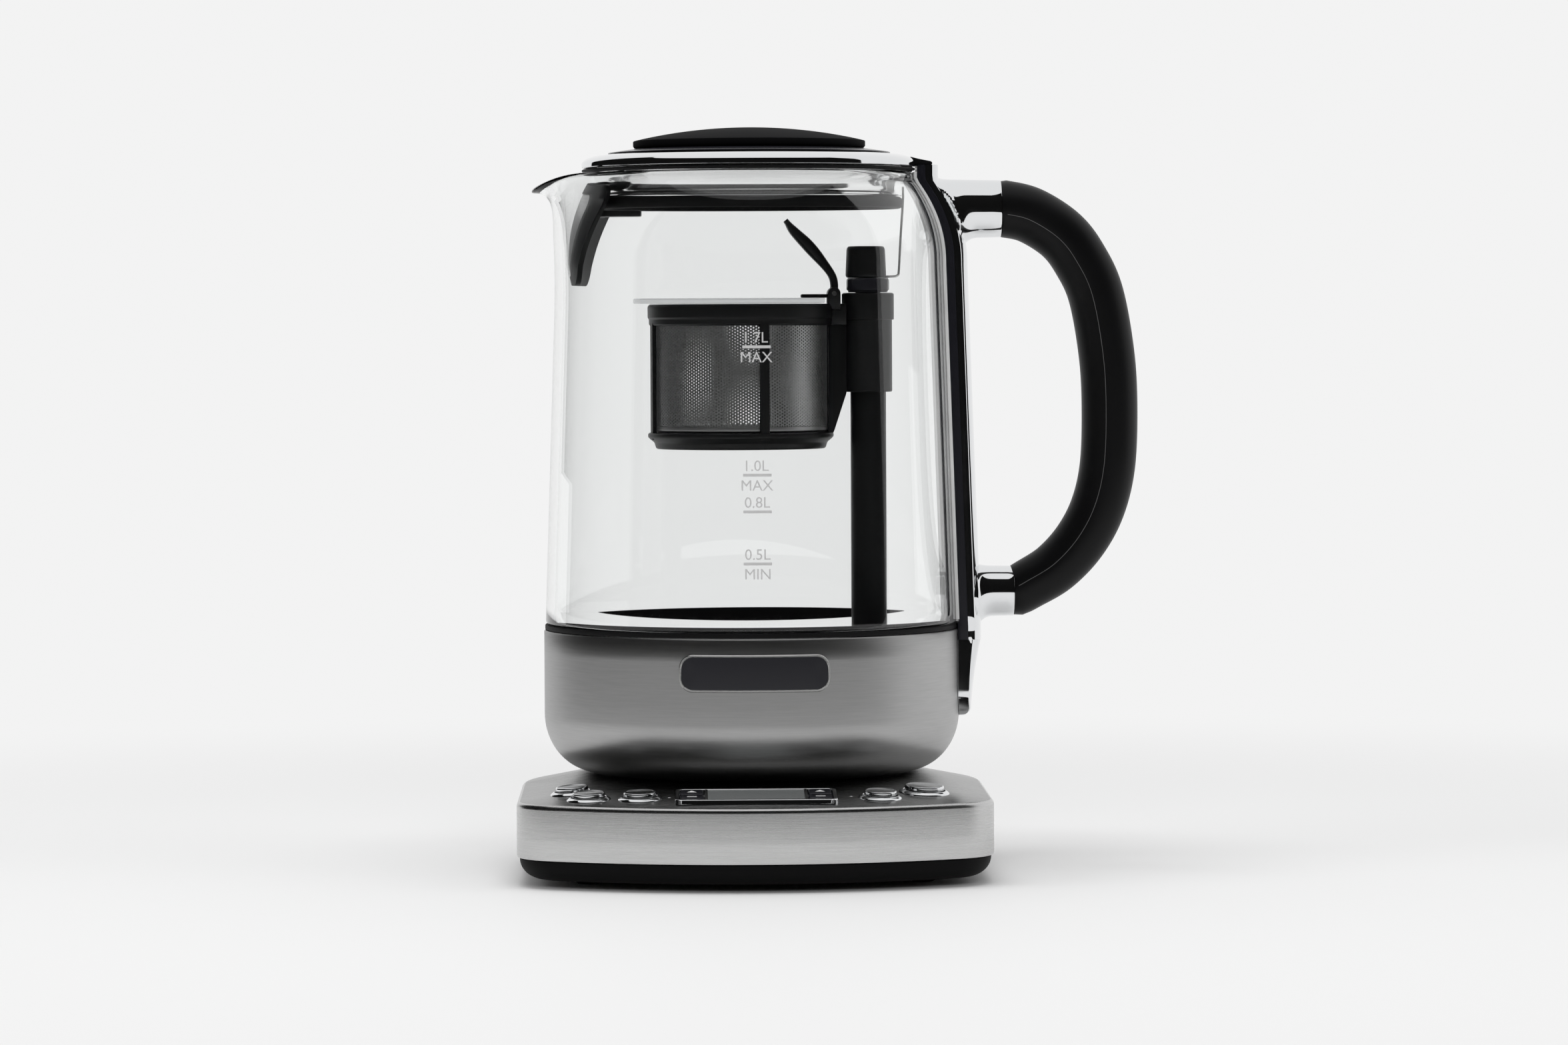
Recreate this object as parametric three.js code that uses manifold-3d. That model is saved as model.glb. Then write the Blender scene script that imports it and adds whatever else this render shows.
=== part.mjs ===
// Automatic tea maker: a glass jug with a lift-and-lower infuser on a pillow-topped power base.
// Millimetres, +Z up. The jug's axis is the working axis; the last line moves the origin to the
// middle of the footprint, at floor level.
import * as THREE from 'three';
import { mergeVertices } from 'three/addons/utils/BufferGeometryUtils.js';
import Module from 'manifold-3d';

const wasm = await Module();
wasm.setup();

// Facet counts
const jugSides = 28;
const midSides = 12;
const smallSides = 10;
const pinSides = 8;
const tubeSides = 6;
const cornerSteps = 4;
const edgeSteps = 2;
const backSteps = 10;
const bowSteps = 6;
const gripSteps = 18;
const gripSides = 12;

// Clearances and cuts
const seatGap = 0.3;
const slideGap = 0.6;
const overrun = 2;

// Power base: plan and heights
const baseHalfWidth = 84;
const baseFront = 112;
const baseBack = 88;
const bowRadius = 155;
const frontCornerRadius = 22;
const baseWall = 1.6;
const panDepth = 10.4;
const shoulderHeight = 26;
const edgeRise = 3.6;
const edgeInset = 3.2;
const seatHeight = 34;
const seatRadius = 62;

// Base pan, feet and inside
const panInset = 1;
const panFloorInset = 9;
const panFloor = 2.5;
const panWall = 2.4;
const panLip = 4.6;
const footRadius = 4.6;
const footPlugRadius = 2;
const footPlugHeight = 3.6;
const frontFootX = 59;
const frontFootY = 70;
const rearFootX = 44;
const rearFootY = 56;
const boardHeight = 17;
const boardThick = 1.6;
const boardInset = 7;
const boardBack = 60;
const boardPostRadius = 3.5;
const boardPostX = 52;
const boardPostY = 72;
const connectorRadius = 14.2;
const connectorRise = 12;
const connectorTop = seatHeight + connectorRise;
const connectorFlange = 5.5;
const connectorFlangeDepth = 7;
const connectorPinRadius = 3;
const connectorCrownShare = 0.125;
const connectorRecessShare = 0.62;
const glandRadius = 6.4;
const glandBore = 3.4;
const glandHeight = 19;
const glandLength = 11;
const glandFlange = 2;
const glandSink = 0.6;

// Control panel: round buttons as places on the sloped top, then display and keys
const buttonRadius = 5.75;
const ringWidth = 2.05;
const bigButtonExtra = 1.2;
const ringHeight = 1.2;
const ringChamfer = 0.8;
const spotFaceDepth = 0.6;
const buttonTravel = 0.9;
const buttonThick = 1.9;
const buttonDishShare = 0.17;
const buttonStemRadius = 3;
const buttonStemLength = 5.4;
const outerLeftX = 64.5;
const outerLeftY = 67;
const midLeftX = 58.5;
const midLeftY = 84;
const innerLeftX = 40.5;
const innerLeftY = 87;
const innerRightX = 43.5;
const innerRightY = 86.5;
const outerRightX = 59.5;
const outerRightY = 72;
const displayY = 89.5;
const displayWidth = 56.8;
const displayDepth = 23;
const bezelHeight = 1.5;
const bezelBorder = 1.7;
const bezelCorner = 2.6;
const windowWidth = 34;
const keyTravel = 0.6;
const keyThick = 2;

// Jug: steel shell and what it holds
const jugRadius = 75.5;
const shellBottom = seatHeight + 2 * seatGap;
const shellHeight = 51.4;
const shellTop = shellBottom + shellHeight;
const shellWall = 1.2;
const footReach = 18.6;
const footRise = 21;
const coverStep = 6.9;
const coverOpening = jugRadius - footReach - coverStep;
const coverThick = 2.1;
const coverLedge = 5;
const socketRadius = 14.8;
const socketWall = 5.4;
const socketClearance = 0.8;
const socketTop = connectorTop + socketClearance;
const socketRoof = 3.2;
const socketFlange = 2.8;
const floorSink = 5.5;
const floorHeight = shellTop - floorSink;
const plateThick = 1.5;
const plateDish = 9.5;
const elementGap = 2.9;
const elementTube = 3.5;
const elementSweep = 5.4;
const probeInset = 30.5;
const probeX = jugRadius - probeInset;
const probeRadius = 3;
const probeRise = 7.5;
const badgeWidth = 54;
const badgeHeight = 13.4;
const badgeCorner = 5;
const badgeThick = 1;
const badgeDrop = 12;
const badgeMiddle = shellTop - badgeDrop;

// Glass
const gasketThick = 1.4;
const gasketLip = 2.4;
const glassWall = 3.3;
const glassStep = 0.5;
const glassFootRadius = jugRadius - glassStep;
const bodyTaper = 4.4;
const shoulderRadius = glassFootRadius - bodyTaper;
const neckTaper = 10.6;
const neckRadius = shoulderRadius - neckTaper;
const glassRise = 165.8;
const rimHeight = shellTop + glassRise;
const neckHeight = 2.8;
const neckStart = rimHeight - neckHeight;
const shoulderDrop = 33.8;
const shoulderStart = rimHeight - shoulderDrop;
const shoulderPower = 2.2;
const spoutProud = 0.8;
const spoutWallRadius = shoulderRadius + spoutProud;
const spoutLip = 8.9;
const spoutRootDrop = 46.8;
const spoutRoot = rimHeight - spoutRootDrop;
const spoutFlareDrop = 23.8;
const spoutFlareStart = rimHeight - spoutFlareDrop;
const spoutFlarePower = 4;
const spoutDroop = 4.8;
const spoutHalfAngle = 0.56;

// Jug lid
const skirtInset = 4.4;
const skirtRadius = neckRadius - skirtInset;
const skirtWall = 0.9;
const skirtDepth = 10.9;
const sealDepth = 4;
const sealProud = 0.3;
const sealWidth = 3.4;
const lidGasketThick = 1.4;
const lidRingProud = 1;
const lidRingRadius = neckRadius + lidRingProud;
const lidRingRise = 4.9;
const lidRingWidth = 15;
const lidRingInner = lidRingRadius - lidRingWidth;
const lidDiscInset = 9.7;
const lidDiscRadius = lidRingRadius - lidDiscInset;
const lidDiscRise = 1.6;
const knobInset = 9.1;
const knobRadius = lidDiscRadius - knobInset;
const knobEdge = 2.8;
const knobCrown = 4.9;
const knobRoundShare = 0.35;

// Handle: strip, cast spine, ferrules, grip and cap
const spineHalfAngle = 0.16;
const stripThick = 4.4;
const stripLap = 4;
const stripFoot = shellTop - stripLap;
const spineThick = 2.7;
const spineCrown = 1.6;
const spineDrop = 32;
const spineFoot = shellTop - spineDrop;
const spineFootTaper = 1.8;
const spineTipRadius = 8.6;
const upperFerruleDrop = 13.4;
const upperFerruleZ = rimHeight - upperFerruleDrop;
const upperFerruleReach = 15.8;
const upperFerruleEnd = jugRadius + upperFerruleReach;
const upperFerruleRadius = 10.4;
const upperFerruleSwell = 1.1;
const lowerFerruleRise = 13.2;
const lowerFerruleZ = shellTop + lowerFerruleRise;
const lowerFerruleReach = 20;
const lowerFerruleEnd = jugRadius + lowerFerruleReach;
const lowerFerruleRadius = 9.1;
const ferruleFlare = 2.4;
const ferruleFlareLength = 6;
const gripStandoff = 55.5;
const gripReach = jugRadius + gripStandoff;
const gripMiddleRadius = 10.2;
const capInset = 2.6;
const capInner = neckRadius - capInset;
const capProud = 6.4;
const capOuter = neckRadius + capProud;
const capHalfWidth = 10.5;
const capRise = 5.1;
const capSlope = 1.4;
const keyway = 0.6;

// Post, lift drive and sensor wire
const postShare = 86 / 151;
const postX = jugRadius * postShare;
const postRadius = 6.5;
const postWall = 1.7;
const postDrop = 45.8;
const postTop = rimHeight - postDrop;
const postFlangeRadius = 11;
const postFlangeThick = 2.5;
const capRadius = 7.4;
const capHeight = 17;
const capNeckRadius = 7.8;
const capNeckHeight = 5.2;
const capPlugDepth = 9;
const capEdgeShare = 0.17;
const screwRadius = 2;
const screwCollarRadius = 3.2;
const screwCollarHeight = 4;
const nutHeight = 14;
const motorRadius = 10.6;
const motorHeight = 24;
const gearboxRadius = 8.5;
const gearboxHeight = 9;
const wireRadius = 0.45;
const wireInset = 2.8;
const wireTopX = neckRadius - wireInset;
const wireDrop = 5.8;
const wireTop = rimHeight - wireDrop;

// Infuser: carriage, basket and its lid
const basketSideShares = [373 / 755, 303 / 755];
const basketRimWall = 1.9;
const basketRimDrop = 1.9;
const basketRimTop = postTop - basketRimDrop;
const basketRimHeight = 7.8;
const basketDepth = 55.1;
const basketFoot = basketRimTop - basketDepth;
const basketFootHeight = 8.5;
const basketFootInset = 2.8;
const basketFlangeHeight = 2.2;
const meshWall = 0.7;
const ribWidth = 3.2;
const ribTurn = 0.253;
const ribCount = 4;
const sleeveWall = 1.7;
const sleeveFootRise = 23;
const sleeveFoot = basketFoot + sleeveFootRise;
const collarProud = 0.7;
const collarHeight = 9.7;
const bridgeHalfWidth = 6;
const armHalfWidth = 4;
const earThick = 2;
const hingeHalfWidth = 5.2;
const hingeInset = 12.5;
const hingeX = postX - hingeInset;
const hingeRise = 3.7;
const hingeRadius = 2.3;
const hingePinRadius = 0.9;
const infuserLidOverlap = 5.2;
const infuserLidThick = 1.8;
const infuserLidTrimInset = 4;
const infuserLidTrim = hingeX - infuserLidTrimInset;
const leverThick = 3.4;
const leverHalfWidth = 3.6;
const leverElbowRise = 7.5;
const leverTipRise = 27;
const leverTipReach = 17.5;
const leverPadLength = 12;
const leverPadThick = 1.4;

// Spout filter
const filterGlassGap = 1.2;
const filterWall = 1.6;
const filterFootDrop = 40.8;
const filterFoot = rimHeight - filterFootDrop;
const filterTopDrop = 5.8;
const filterTop = rimHeight - filterTopDrop;
const filterHalfAngle = 0.6;
const filterRail = 0.24;
const filterBorder = 3.4;
const filterFootSpread = 1.6;
const meshThick = 0.5;
const tabInset = 20.7;
const tabReach = neckRadius - tabInset;
const tabThick = 2.2;
const tabHalfWidth = 6;

// Places worked out from the sizes above
const shellFoot = panDepth + seatGap;
const lidFoot = rimHeight + seatGap;
const lidDeck = lidFoot + lidGasketThick;
const discFoot = lidDeck + lidRingRise + seatGap;
const knobFoot = discFoot + lidDiscRise + seatGap;
const skirtFoot = lidDeck - seatGap - skirtDepth;
const sealFoot = skirtFoot - seatGap - sealDepth;
const gasketFoot = shellTop + seatGap;
const glassFoot = gasketFoot + gasketThick + seatGap;
const postFoot = floorHeight + seatGap;
const postBore = postRadius - postWall;
const sleeveBore = postRadius + slideGap;
const coverTop = shellBottom - seatGap + 2 * coverThick;
const hingeZ = basketRimTop + hingeRise;
const elementRadius = postX - motorRadius - elementTube - elementGap;
const [basketLeft, basketRight] = [-jugRadius * basketSideShares[0], jugRadius * basketSideShares[1]];
const basketX = (basketLeft + basketRight) / 2;
const basketRimRadius = (basketRight - basketLeft) / 2;
const basketFootRadius = basketRimRadius - basketFootInset;
const infuserLidRadius = basketRimRadius + infuserLidOverlap;
const meshRadius = basketRimRadius - basketRimWall - seatGap;
const meshFoot = basketFoot + basketFootHeight + seatGap;

// Solid helpers

function closed(geometry) {
  const bare = new THREE.BufferGeometry();
  bare.setAttribute('position', geometry.getAttribute('position').clone());
  if (geometry.index) bare.setIndex(geometry.index.clone());
  const welded = mergeVertices(bare);
  const at = welded.getAttribute('position');
  const corners = [new THREE.Vector3(), new THREE.Vector3(), new THREE.Vector3()];
  const kept = [];
  let volume = 0;
  for (let i = 0; i < welded.index.count; i += 3) {
    const face = [0, 1, 2].map((k) => welded.index.getX(i + k));
    if (face[0] === face[1] || face[1] === face[2] || face[2] === face[0]) continue;
    kept.push(face);
    face.forEach((vertex, k) => corners[k].fromBufferAttribute(at, vertex));
    volume += corners[0].dot(corners[1].clone().cross(corners[2]));
  }
  welded.setIndex((volume < 0 ? kept.map(([a, b, c]) => [a, c, b]) : kept).flat());
  return welded;
}

function solidOf(geometry) {
  const shape = closed(geometry);
  const vertProperties = new Float32Array(shape.getAttribute('position').array);
  const triVerts = new Uint32Array(shape.index.array);
  return new wasm.Manifold(new wasm.Mesh({ numProp: 3, vertProperties, triVerts }));
}

function geometryOf(solid) {
  const mesh = solid.getMesh();
  const geometry = new THREE.BufferGeometry();
  geometry.setAttribute('position', new THREE.BufferAttribute(new Float32Array(mesh.vertProperties), 3));
  geometry.setIndex([...mesh.triVerts]);
  return geometry;
}

function join(first, ...others) {
  return geometryOf(others.reduce((sum, other) => sum.add(solidOf(other)), solidOf(first)));
}

function cut(body, ...tools) {
  return geometryOf(tools.reduce((rest, tool) => rest.subtract(solidOf(tool)), solidOf(body)));
}

function common(first, second) {
  return geometryOf(solidOf(first).intersect(solidOf(second)));
}

// A profile of [radius, height] points turned about +Z; off the axis it closes on itself.
function turned(profile, sides = jugSides) {
  const onAxis = profile[0][0] === 0 && profile[profile.length - 1][0] === 0;
  const points = (onAxis ? profile : [...profile, profile[0]]).map(([r, z]) => new THREE.Vector2(r, z));
  return new THREE.LatheGeometry(points, sides).rotateX(Math.PI / 2);
}

function round(radius, low, high, sides = smallSides) {
  const post = new THREE.CylinderGeometry(radius, radius, high - low, sides);
  return post.rotateX(Math.PI / 2).translate(0, 0, (low + high) / 2);
}

function block(x, y, z) {
  const box = new THREE.BoxGeometry(x[1] - x[0], y[1] - y[0], z[1] - z[0]);
  return box.translate((x[0] + x[1]) / 2, (y[0] + y[1]) / 2, (z[0] + z[1]) / 2);
}

// An outline in the plan, raised from low to high.
function prism(points, low, high) {
  const shape = new THREE.Shape(points.map(([x, y]) => new THREE.Vector2(x, y)));
  const body = new THREE.ExtrudeGeometry(shape, { depth: high - low, bevelEnabled: false });
  return body.translate(0, 0, low);
}

// An outline of [x, z] points seen from the front, as thick as two half widths.
function plate(points, halfWidth) {
  return prism(points, -halfWidth, halfWidth).rotateX(Math.PI / 2);
}

// Equal rings of points joined by faces, and closed at both ends.
function loft(rings) {
  const count = rings[0].length;
  const positions = rings.flat().flatMap((point) => [point.x, point.y, point.z]);
  const faces = [];
  for (let ring = 0; ring + 1 < rings.length; ring += 1) {
    for (let side = 0; side < count; side += 1) {
      const next = (side + 1) % count;
      const [a, b] = [ring * count + side, ring * count + next];
      faces.push(a, b, b + count, a, b + count, a + count);
    }
  }
  const last = (rings.length - 1) * count;
  for (let side = 1; side + 1 < count; side += 1) {
    faces.push(0, side + 1, side, last, last + side, last + side + 1);
  }
  const geometry = new THREE.BufferGeometry();
  geometry.setAttribute('position', new THREE.Float32BufferAttribute(positions, 3));
  geometry.setIndex(faces);
  return geometry;
}

// A closed profile swept about +Z through part of a turn; profileAt gives it at a share of the sweep.
function sector(profileAt, from, to, steps) {
  const outline = profileAt(0);
  const count = outline.length;
  const positions = [];
  const faces = [];
  for (let step = 0; step <= steps; step += 1) {
    const angle = from + ((to - from) * step) / steps;
    profileAt(step / steps).forEach(([r, z]) => positions.push(r * Math.cos(angle), r * Math.sin(angle), z));
  }
  for (let step = 0; step < steps; step += 1) {
    for (let side = 0; side < count; side += 1) {
      const next = (side + 1) % count;
      const [a, b] = [step * count + side, step * count + next];
      faces.push(a, b, b + count, a, b + count, a + count);
    }
  }
  const flat = outline.map(([r, z]) => new THREE.Vector2(r, z));
  const turn = THREE.ShapeUtils.isClockWise(flat) ? -1 : 1;
  THREE.ShapeUtils.triangulateShape(flat, []).forEach(([a, b, c]) => {
    const [second, third] = turn > 0 ? [c, b] : [b, c];
    const last = steps * count;
    faces.push(a, second, third, last + a, last + third, last + second);
  });
  const geometry = new THREE.BufferGeometry();
  geometry.setAttribute('position', new THREE.Float32BufferAttribute(positions, 3));
  geometry.setIndex(faces);
  return geometry;
}

function finish(color, roughness, metalness, opacity = 1) {
  return new THREE.MeshStandardMaterial({ color, roughness, metalness, opacity, transparent: opacity < 1 });
}

const brushedSteel = () => finish(0xb4b6b8, 0.38, 0.95);
const chrome = () => finish(0xe2e5e8, 0.08, 1);
const blackPlastic = () => finish(0x131416, 0.45, 0);
const rubber = () => finish(0x2b2c2e, 0.8, 0);
const clearGlass = () => finish(0xe8f0f2, 0.04, 0, 0.3);
const clearPlastic = () => finish(0xd7dcde, 0.12, 0, 0.45);
const circuitGreen = () => finish(0x1f5a3a, 0.6, 0);
const brass = () => finish(0xb08d4a, 0.35, 0.9);

function add(group, name, geometry, material) {
  const mesh = new THREE.Mesh(closed(geometry), material);
  mesh.name = name;
  group.add(mesh);
  return mesh;
}

// Power base

// The plan: a bowed front with rounded corners, straight sides and a half-round back.
function baseOutline(inset) {
  const side = baseHalfWidth - inset;
  const backCentre = baseBack - baseHalfWidth;
  const bowCentre = bowRadius - baseFront;
  const cornerX = baseHalfWidth - frontCornerRadius;
  const reach = bowRadius - frontCornerRadius;
  const cornerY = bowCentre - Math.sqrt(reach * reach - cornerX * cornerX);
  const corner = Math.max(frontCornerRadius - inset, 0);
  const bowAngle = Math.atan2(cornerX, bowCentre - cornerY);
  const points = [];
  const arc = (x, y, radius, from, to, steps) => {
    for (let i = 0; i <= steps; i += 1) {
      const angle = from + ((to - from) * i) / steps;
      points.push([x + radius * Math.cos(angle), y + radius * Math.sin(angle)]);
    }
  };
  arc(0, backCentre, side, 0, Math.PI, backSteps);
  arc(-cornerX, cornerY, corner, Math.PI, 1.5 * Math.PI - bowAngle, cornerSteps);
  arc(0, bowCentre, bowRadius - inset, 1.5 * Math.PI - bowAngle, 1.5 * Math.PI + bowAngle, bowSteps);
  arc(cornerX, cornerY, corner, 1.5 * Math.PI + bowAngle, 2 * Math.PI, cornerSteps);
  return points.filter(([x, y], i) => {
    const [px, py] = points[(i + points.length - 1) % points.length];
    return Math.hypot(x - px, y - py) > seatGap / 100;
  });
}

function outlineRing(inset, height) {
  return baseOutline(inset).map(([x, y]) => new THREE.Vector3(x, y, height));
}

// The pillow top: rounded edge, then straight falls from the seat circle to the edge.
function pillowRings(inset, drop) {
  const edge = baseOutline(edgeInset + inset);
  const seatRing = edge.map(([x, y]) => {
    const reach = Math.hypot(x, y);
    return new THREE.Vector3((x / reach) * seatRadius, (y / reach) * seatRadius, seatHeight - drop);
  });
  const rings = [outlineRing(inset, shoulderHeight - drop)];
  for (let step = 1; step < edgeSteps; step += 1) {
    const angle = (step / edgeSteps) * (Math.PI / 2);
    const turnIn = edgeInset * (1 - Math.cos(angle));
    rings.push(outlineRing(inset + turnIn, shoulderHeight - drop + edgeRise * Math.sin(angle)));
  }
  rings.push(outlineRing(edgeInset + inset, shoulderHeight - drop + edgeRise), seatRing);
  return rings;
}

// Height of the pillow top at a place in the plan, outside the seat circle.
function topHeight(x, y) {
  const edge = baseOutline(edgeInset);
  const reach = Math.hypot(x, y);
  let edgeReach = baseFront;
  edge.forEach(([ax, ay], i) => {
    const [bx, by] = edge[(i + 1) % edge.length];
    const across = x * (by - ay) - y * (bx - ax);
    const along = (ax * (by - ay) - ay * (bx - ax)) / across;
    const share = Math.abs(bx - ax) > Math.abs(by - ay)
      ? (x * along - ax) / (bx - ax) : (y * along - ay) / (by - ay);
    if (along > 0 && share >= 0 && share <= 1) edgeReach = reach * along;
  });
  const share = (edgeReach - reach) / (edgeReach - seatRadius);
  return shoulderHeight + edgeRise + (seatHeight - shoulderHeight - edgeRise) * share;
}

// A group that stands on the pillow top, with its +Z along the surface's normal.
function panelSpot(x, y) {
  const spot = new THREE.Group();
  const step = buttonRadius;
  const slopeX = (topHeight(x + step, y) - topHeight(x - step, y)) / (2 * step);
  const slopeY = (topHeight(x, y + step) - topHeight(x, y - step)) / (2 * step);
  const normal = new THREE.Vector3(-slopeX, -slopeY, 1).normalize();
  spot.position.set(x, y, topHeight(x, y));
  spot.quaternion.setFromUnitVectors(new THREE.Vector3(0, 0, 1), normal);
  spot.updateMatrix();
  return spot;
}

const buttonSpots = [
  { name: 'outer_left', x: -outerLeftX, y: -outerLeftY, radius: buttonRadius },
  { name: 'mid_left', x: -midLeftX, y: -midLeftY, radius: buttonRadius },
  { name: 'inner_left', x: -innerLeftX, y: -innerLeftY, radius: buttonRadius },
  { name: 'inner_right', x: innerRightX, y: -innerRightY, radius: buttonRadius },
  { name: 'outer_right', x: outerRightX, y: -outerRightY, radius: buttonRadius + bigButtonExtra },
].map((place) => ({ ...place, spot: panelSpot(place.x, place.y) }));
const displaySpot = panelSpot(0, -displayY);

function inSpot(geometry, spot) {
  return geometry.clone().applyMatrix4(spot.matrix);
}

function roundedPlate(width, depth, corner, low, high) {
  const [x, y] = [width / 2, depth / 2];
  const outline = new THREE.Shape();
  outline.moveTo(x, y - corner);
  outline.absarc(x - corner, y - corner, corner, 0, Math.PI / 2);
  outline.absarc(corner - x, y - corner, corner, Math.PI / 2, Math.PI);
  outline.absarc(corner - x, corner - y, corner, Math.PI, 1.5 * Math.PI);
  outline.absarc(x - corner, corner - y, corner, 1.5 * Math.PI, 2 * Math.PI);
  const options = { depth: high - low, bevelEnabled: false, curveSegments: edgeSteps };
  return new THREE.ExtrudeGeometry(outline, options).translate(0, 0, low);
}

function baseShell() {
  const outer = loft([outlineRing(0, shellFoot), ...pillowRings(0, 0)]);
  const inner = loft([outlineRing(baseWall, shellFoot - overrun), ...pillowRings(baseWall, baseWall)]);
  const cutters = buttonSpots.flatMap(({ spot, radius }) => [
    inSpot(round(radius + ringWidth + seatGap, -spotFaceDepth, overrun, midSides), spot),
    inSpot(round(buttonStemRadius + slideGap, -overrun - baseWall, overrun, pinSides), spot),
  ]);
  const display = roundedPlate(displayWidth + 2 * seatGap, displayDepth + 2 * seatGap, bezelCorner,
    -spotFaceDepth, overrun);
  const well = roundedPlate(displayWidth - 2 * bezelBorder, displayDepth - 2 * bezelBorder, bezelBorder,
    -overrun - baseWall, overrun);
  const connectorHole = round(connectorRadius + slideGap, shoulderHeight, seatHeight + overrun, midSides);
  const glandHole = round(glandRadius + seatGap, -overrun - baseWall, overrun)
    .rotateX(-Math.PI / 2).translate(0, baseBack, glandHeight);
  return cut(outer, inner, ...cutters, inSpot(display, displaySpot), inSpot(well, displaySpot),
    connectorHole, glandHole);
}

const panTop = panFloor + panWall;

function basePan() {
  const bend = [];
  for (let step = 0; step < cornerSteps - 1; step += 1) {
    const angle = (step / (cornerSteps - 1)) * (Math.PI / 2);
    const inset = panFloorInset - (panFloorInset - panInset) * Math.sin(angle);
    bend.push(outlineRing(inset, panFloor + (panDepth - panFloor) * (1 - Math.cos(angle))));
  }
  const tray = loft([...bend, outlineRing(panInset, panDepth)]);
  const lipInset = baseWall + seatGap;
  const lip = loft([outlineRing(lipInset, panTop), outlineRing(lipInset, panDepth + panLip)]);
  const hollow = loft([outlineRing(panFloorInset, panTop), outlineRing(lipInset + panWall, panDepth),
    outlineRing(lipInset + panWall, panDepth + panLip + overrun)]);
  const plugHoles = footPlaces().map(({ x, y }) => (
    round(footPlugRadius + seatGap, 0, panTop + overrun).translate(x, y, 0)));
  const shell = cut(join(tray, lip), hollow, ...plugHoles, glandSlot());
  const posts = [-boardPostX, 0, boardPostX].map((x) => (
    round(boardPostRadius, panFloor + panWall / 2, boardHeight - seatGap).translate(x, -boardPostY, 0)));
  const pedestalTop = seatHeight - baseWall - seatGap - connectorFlangeDepth - seatGap;
  const pedestal = round(connectorRadius, panFloor + panWall / 2, pedestalTop, midSides);
  return join(shell, ...posts, pedestal);
}

// The pan's lip is cut away behind, round the gland.
function glandSlot() {
  const half = glandRadius + glandFlange + seatGap;
  const front = baseBack - baseHalfWidth / 2;
  return block([-half, half], [front, baseBack], [panDepth, panDepth + panLip + overrun]);
}

function footPlaces() {
  return [
    { name: 'foot_front_left', x: -frontFootX, y: -frontFootY },
    { name: 'foot_front_right', x: frontFootX, y: -frontFootY },
    { name: 'foot_rear_left', x: -rearFootX, y: rearFootY },
    { name: 'foot_rear_right', x: rearFootX, y: rearFootY },
  ];
}

function foot() {
  const pad = panFloor - seatGap;
  const plugTop = pad + footPlugHeight;
  return turned([[0, 0], [footRadius - pad / 4, 0], [footRadius, pad / 4], [footRadius, pad],
    [footPlugRadius, pad], [footPlugRadius, plugTop], [0, plugTop]], smallSides);
}

function powerConnector() {
  const deck = seatHeight - baseWall - seatGap;
  const low = deck - connectorFlangeDepth;
  const crown = connectorRadius * connectorCrownShare;
  const recess = connectorRadius * connectorRecessShare;
  const post = turned([[0, low], [connectorRadius + connectorFlange, low],
    [connectorRadius + connectorFlange, deck], [connectorRadius, deck],
    [connectorRadius, connectorTop - crown], [connectorRadius - crown, connectorTop],
    [recess, connectorTop], [recess, connectorTop - 2 * crown],
    [connectorPinRadius + crown, connectorTop - 2 * crown], [connectorPinRadius + crown, connectorTop],
    [0, connectorTop]], midSides);
  return cut(post, round(connectorPinRadius, connectorTop - 3 * crown, connectorTop + overrun));
}

function controlBoard() {
  const top = boardHeight + boardThick;
  const sheet = common(prism(baseOutline(boardInset), boardHeight, top),
    block([-baseHalfWidth, baseHalfWidth], [-baseFront, -boardBack], [boardHeight - overrun, top + overrun]));
  const switches = buttonSpots.map(({ x, y, spot }) => {
    const stemFoot = spot.position.z - buttonStemLength - buttonTravel - slideGap;
    return round(buttonStemRadius, boardHeight + boardThick / 2, stemFoot, pinSides).translate(x, y, 0);
  });
  const half = windowWidth / 2 - slideGap;
  const depth = displayDepth / 2 - bezelBorder - slideGap;
  const panelFoot = -baseWall - spotFaceDepth - seatGap;
  const module = inSpot(block([-half, half], [-depth, depth],
    [panelFoot - (displaySpot.position.z - top - baseWall), panelFoot]), displaySpot);
  return join(sheet, ...switches, module);
}

function cordGland() {
  const bushing = turned([[glandBore, 0], [glandRadius, 0], [glandRadius, glandLength - glandFlange],
    [glandRadius + glandFlange, glandLength - glandFlange], [glandRadius + glandFlange, glandLength],
    [glandBore, glandLength]], smallSides);
  return bushing.rotateX(Math.PI / 2);
}

function buttonRing(radius) {
  const bore = radius + seatGap;
  const outer = radius + ringWidth;
  const low = seatGap - spotFaceDepth;
  return turned([[bore, low], [outer, low], [outer, ringHeight - ringChamfer],
    [outer - ringChamfer, ringHeight], [bore, ringHeight]], midSides);
}

function roundButton(radius) {
  const low = buttonTravel;
  const high = low + buttonThick;
  const dish = buttonThick * buttonDishShare;
  return turned([[0, -buttonStemLength], [buttonStemRadius, -buttonStemLength], [buttonStemRadius, low],
    [radius, low], [radius, high - dish], [radius - dish, high], [0, high - dish]], midSides);
}

// Half sizes of the keypad on each side of the display
const barWidth = seatGap + keyTravel;
const wellHalfWidth = displayWidth / 2 - bezelBorder;
const wellHalfDepth = displayDepth / 2 - bezelBorder;
const keyInner = windowWidth / 2 + seatGap + barWidth;

function displayBezel() {
  const frame = roundedPlate(displayWidth, displayDepth, bezelCorner, seatGap - spotFaceDepth, bezelHeight);
  const [low, high] = [-overrun, bezelHeight + overrun];
  const bay = [-wellHalfDepth, wellHalfDepth];
  const windowBay = block([-windowWidth / 2, windowWidth / 2], bay, [low, high]);
  const keyBays = [[-wellHalfWidth, -keyInner], [keyInner, wellHalfWidth]]
    .map((x) => block(x, bay, [low, high]));
  return cut(frame, windowBay, ...keyBays);
}

function displayWindow() {
  const half = windowWidth / 2 - seatGap;
  const depth = wellHalfDepth - seatGap;
  return block([-half, half], [-depth, depth], [-baseWall - spotFaceDepth, bezelHeight - seatGap]);
}

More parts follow.
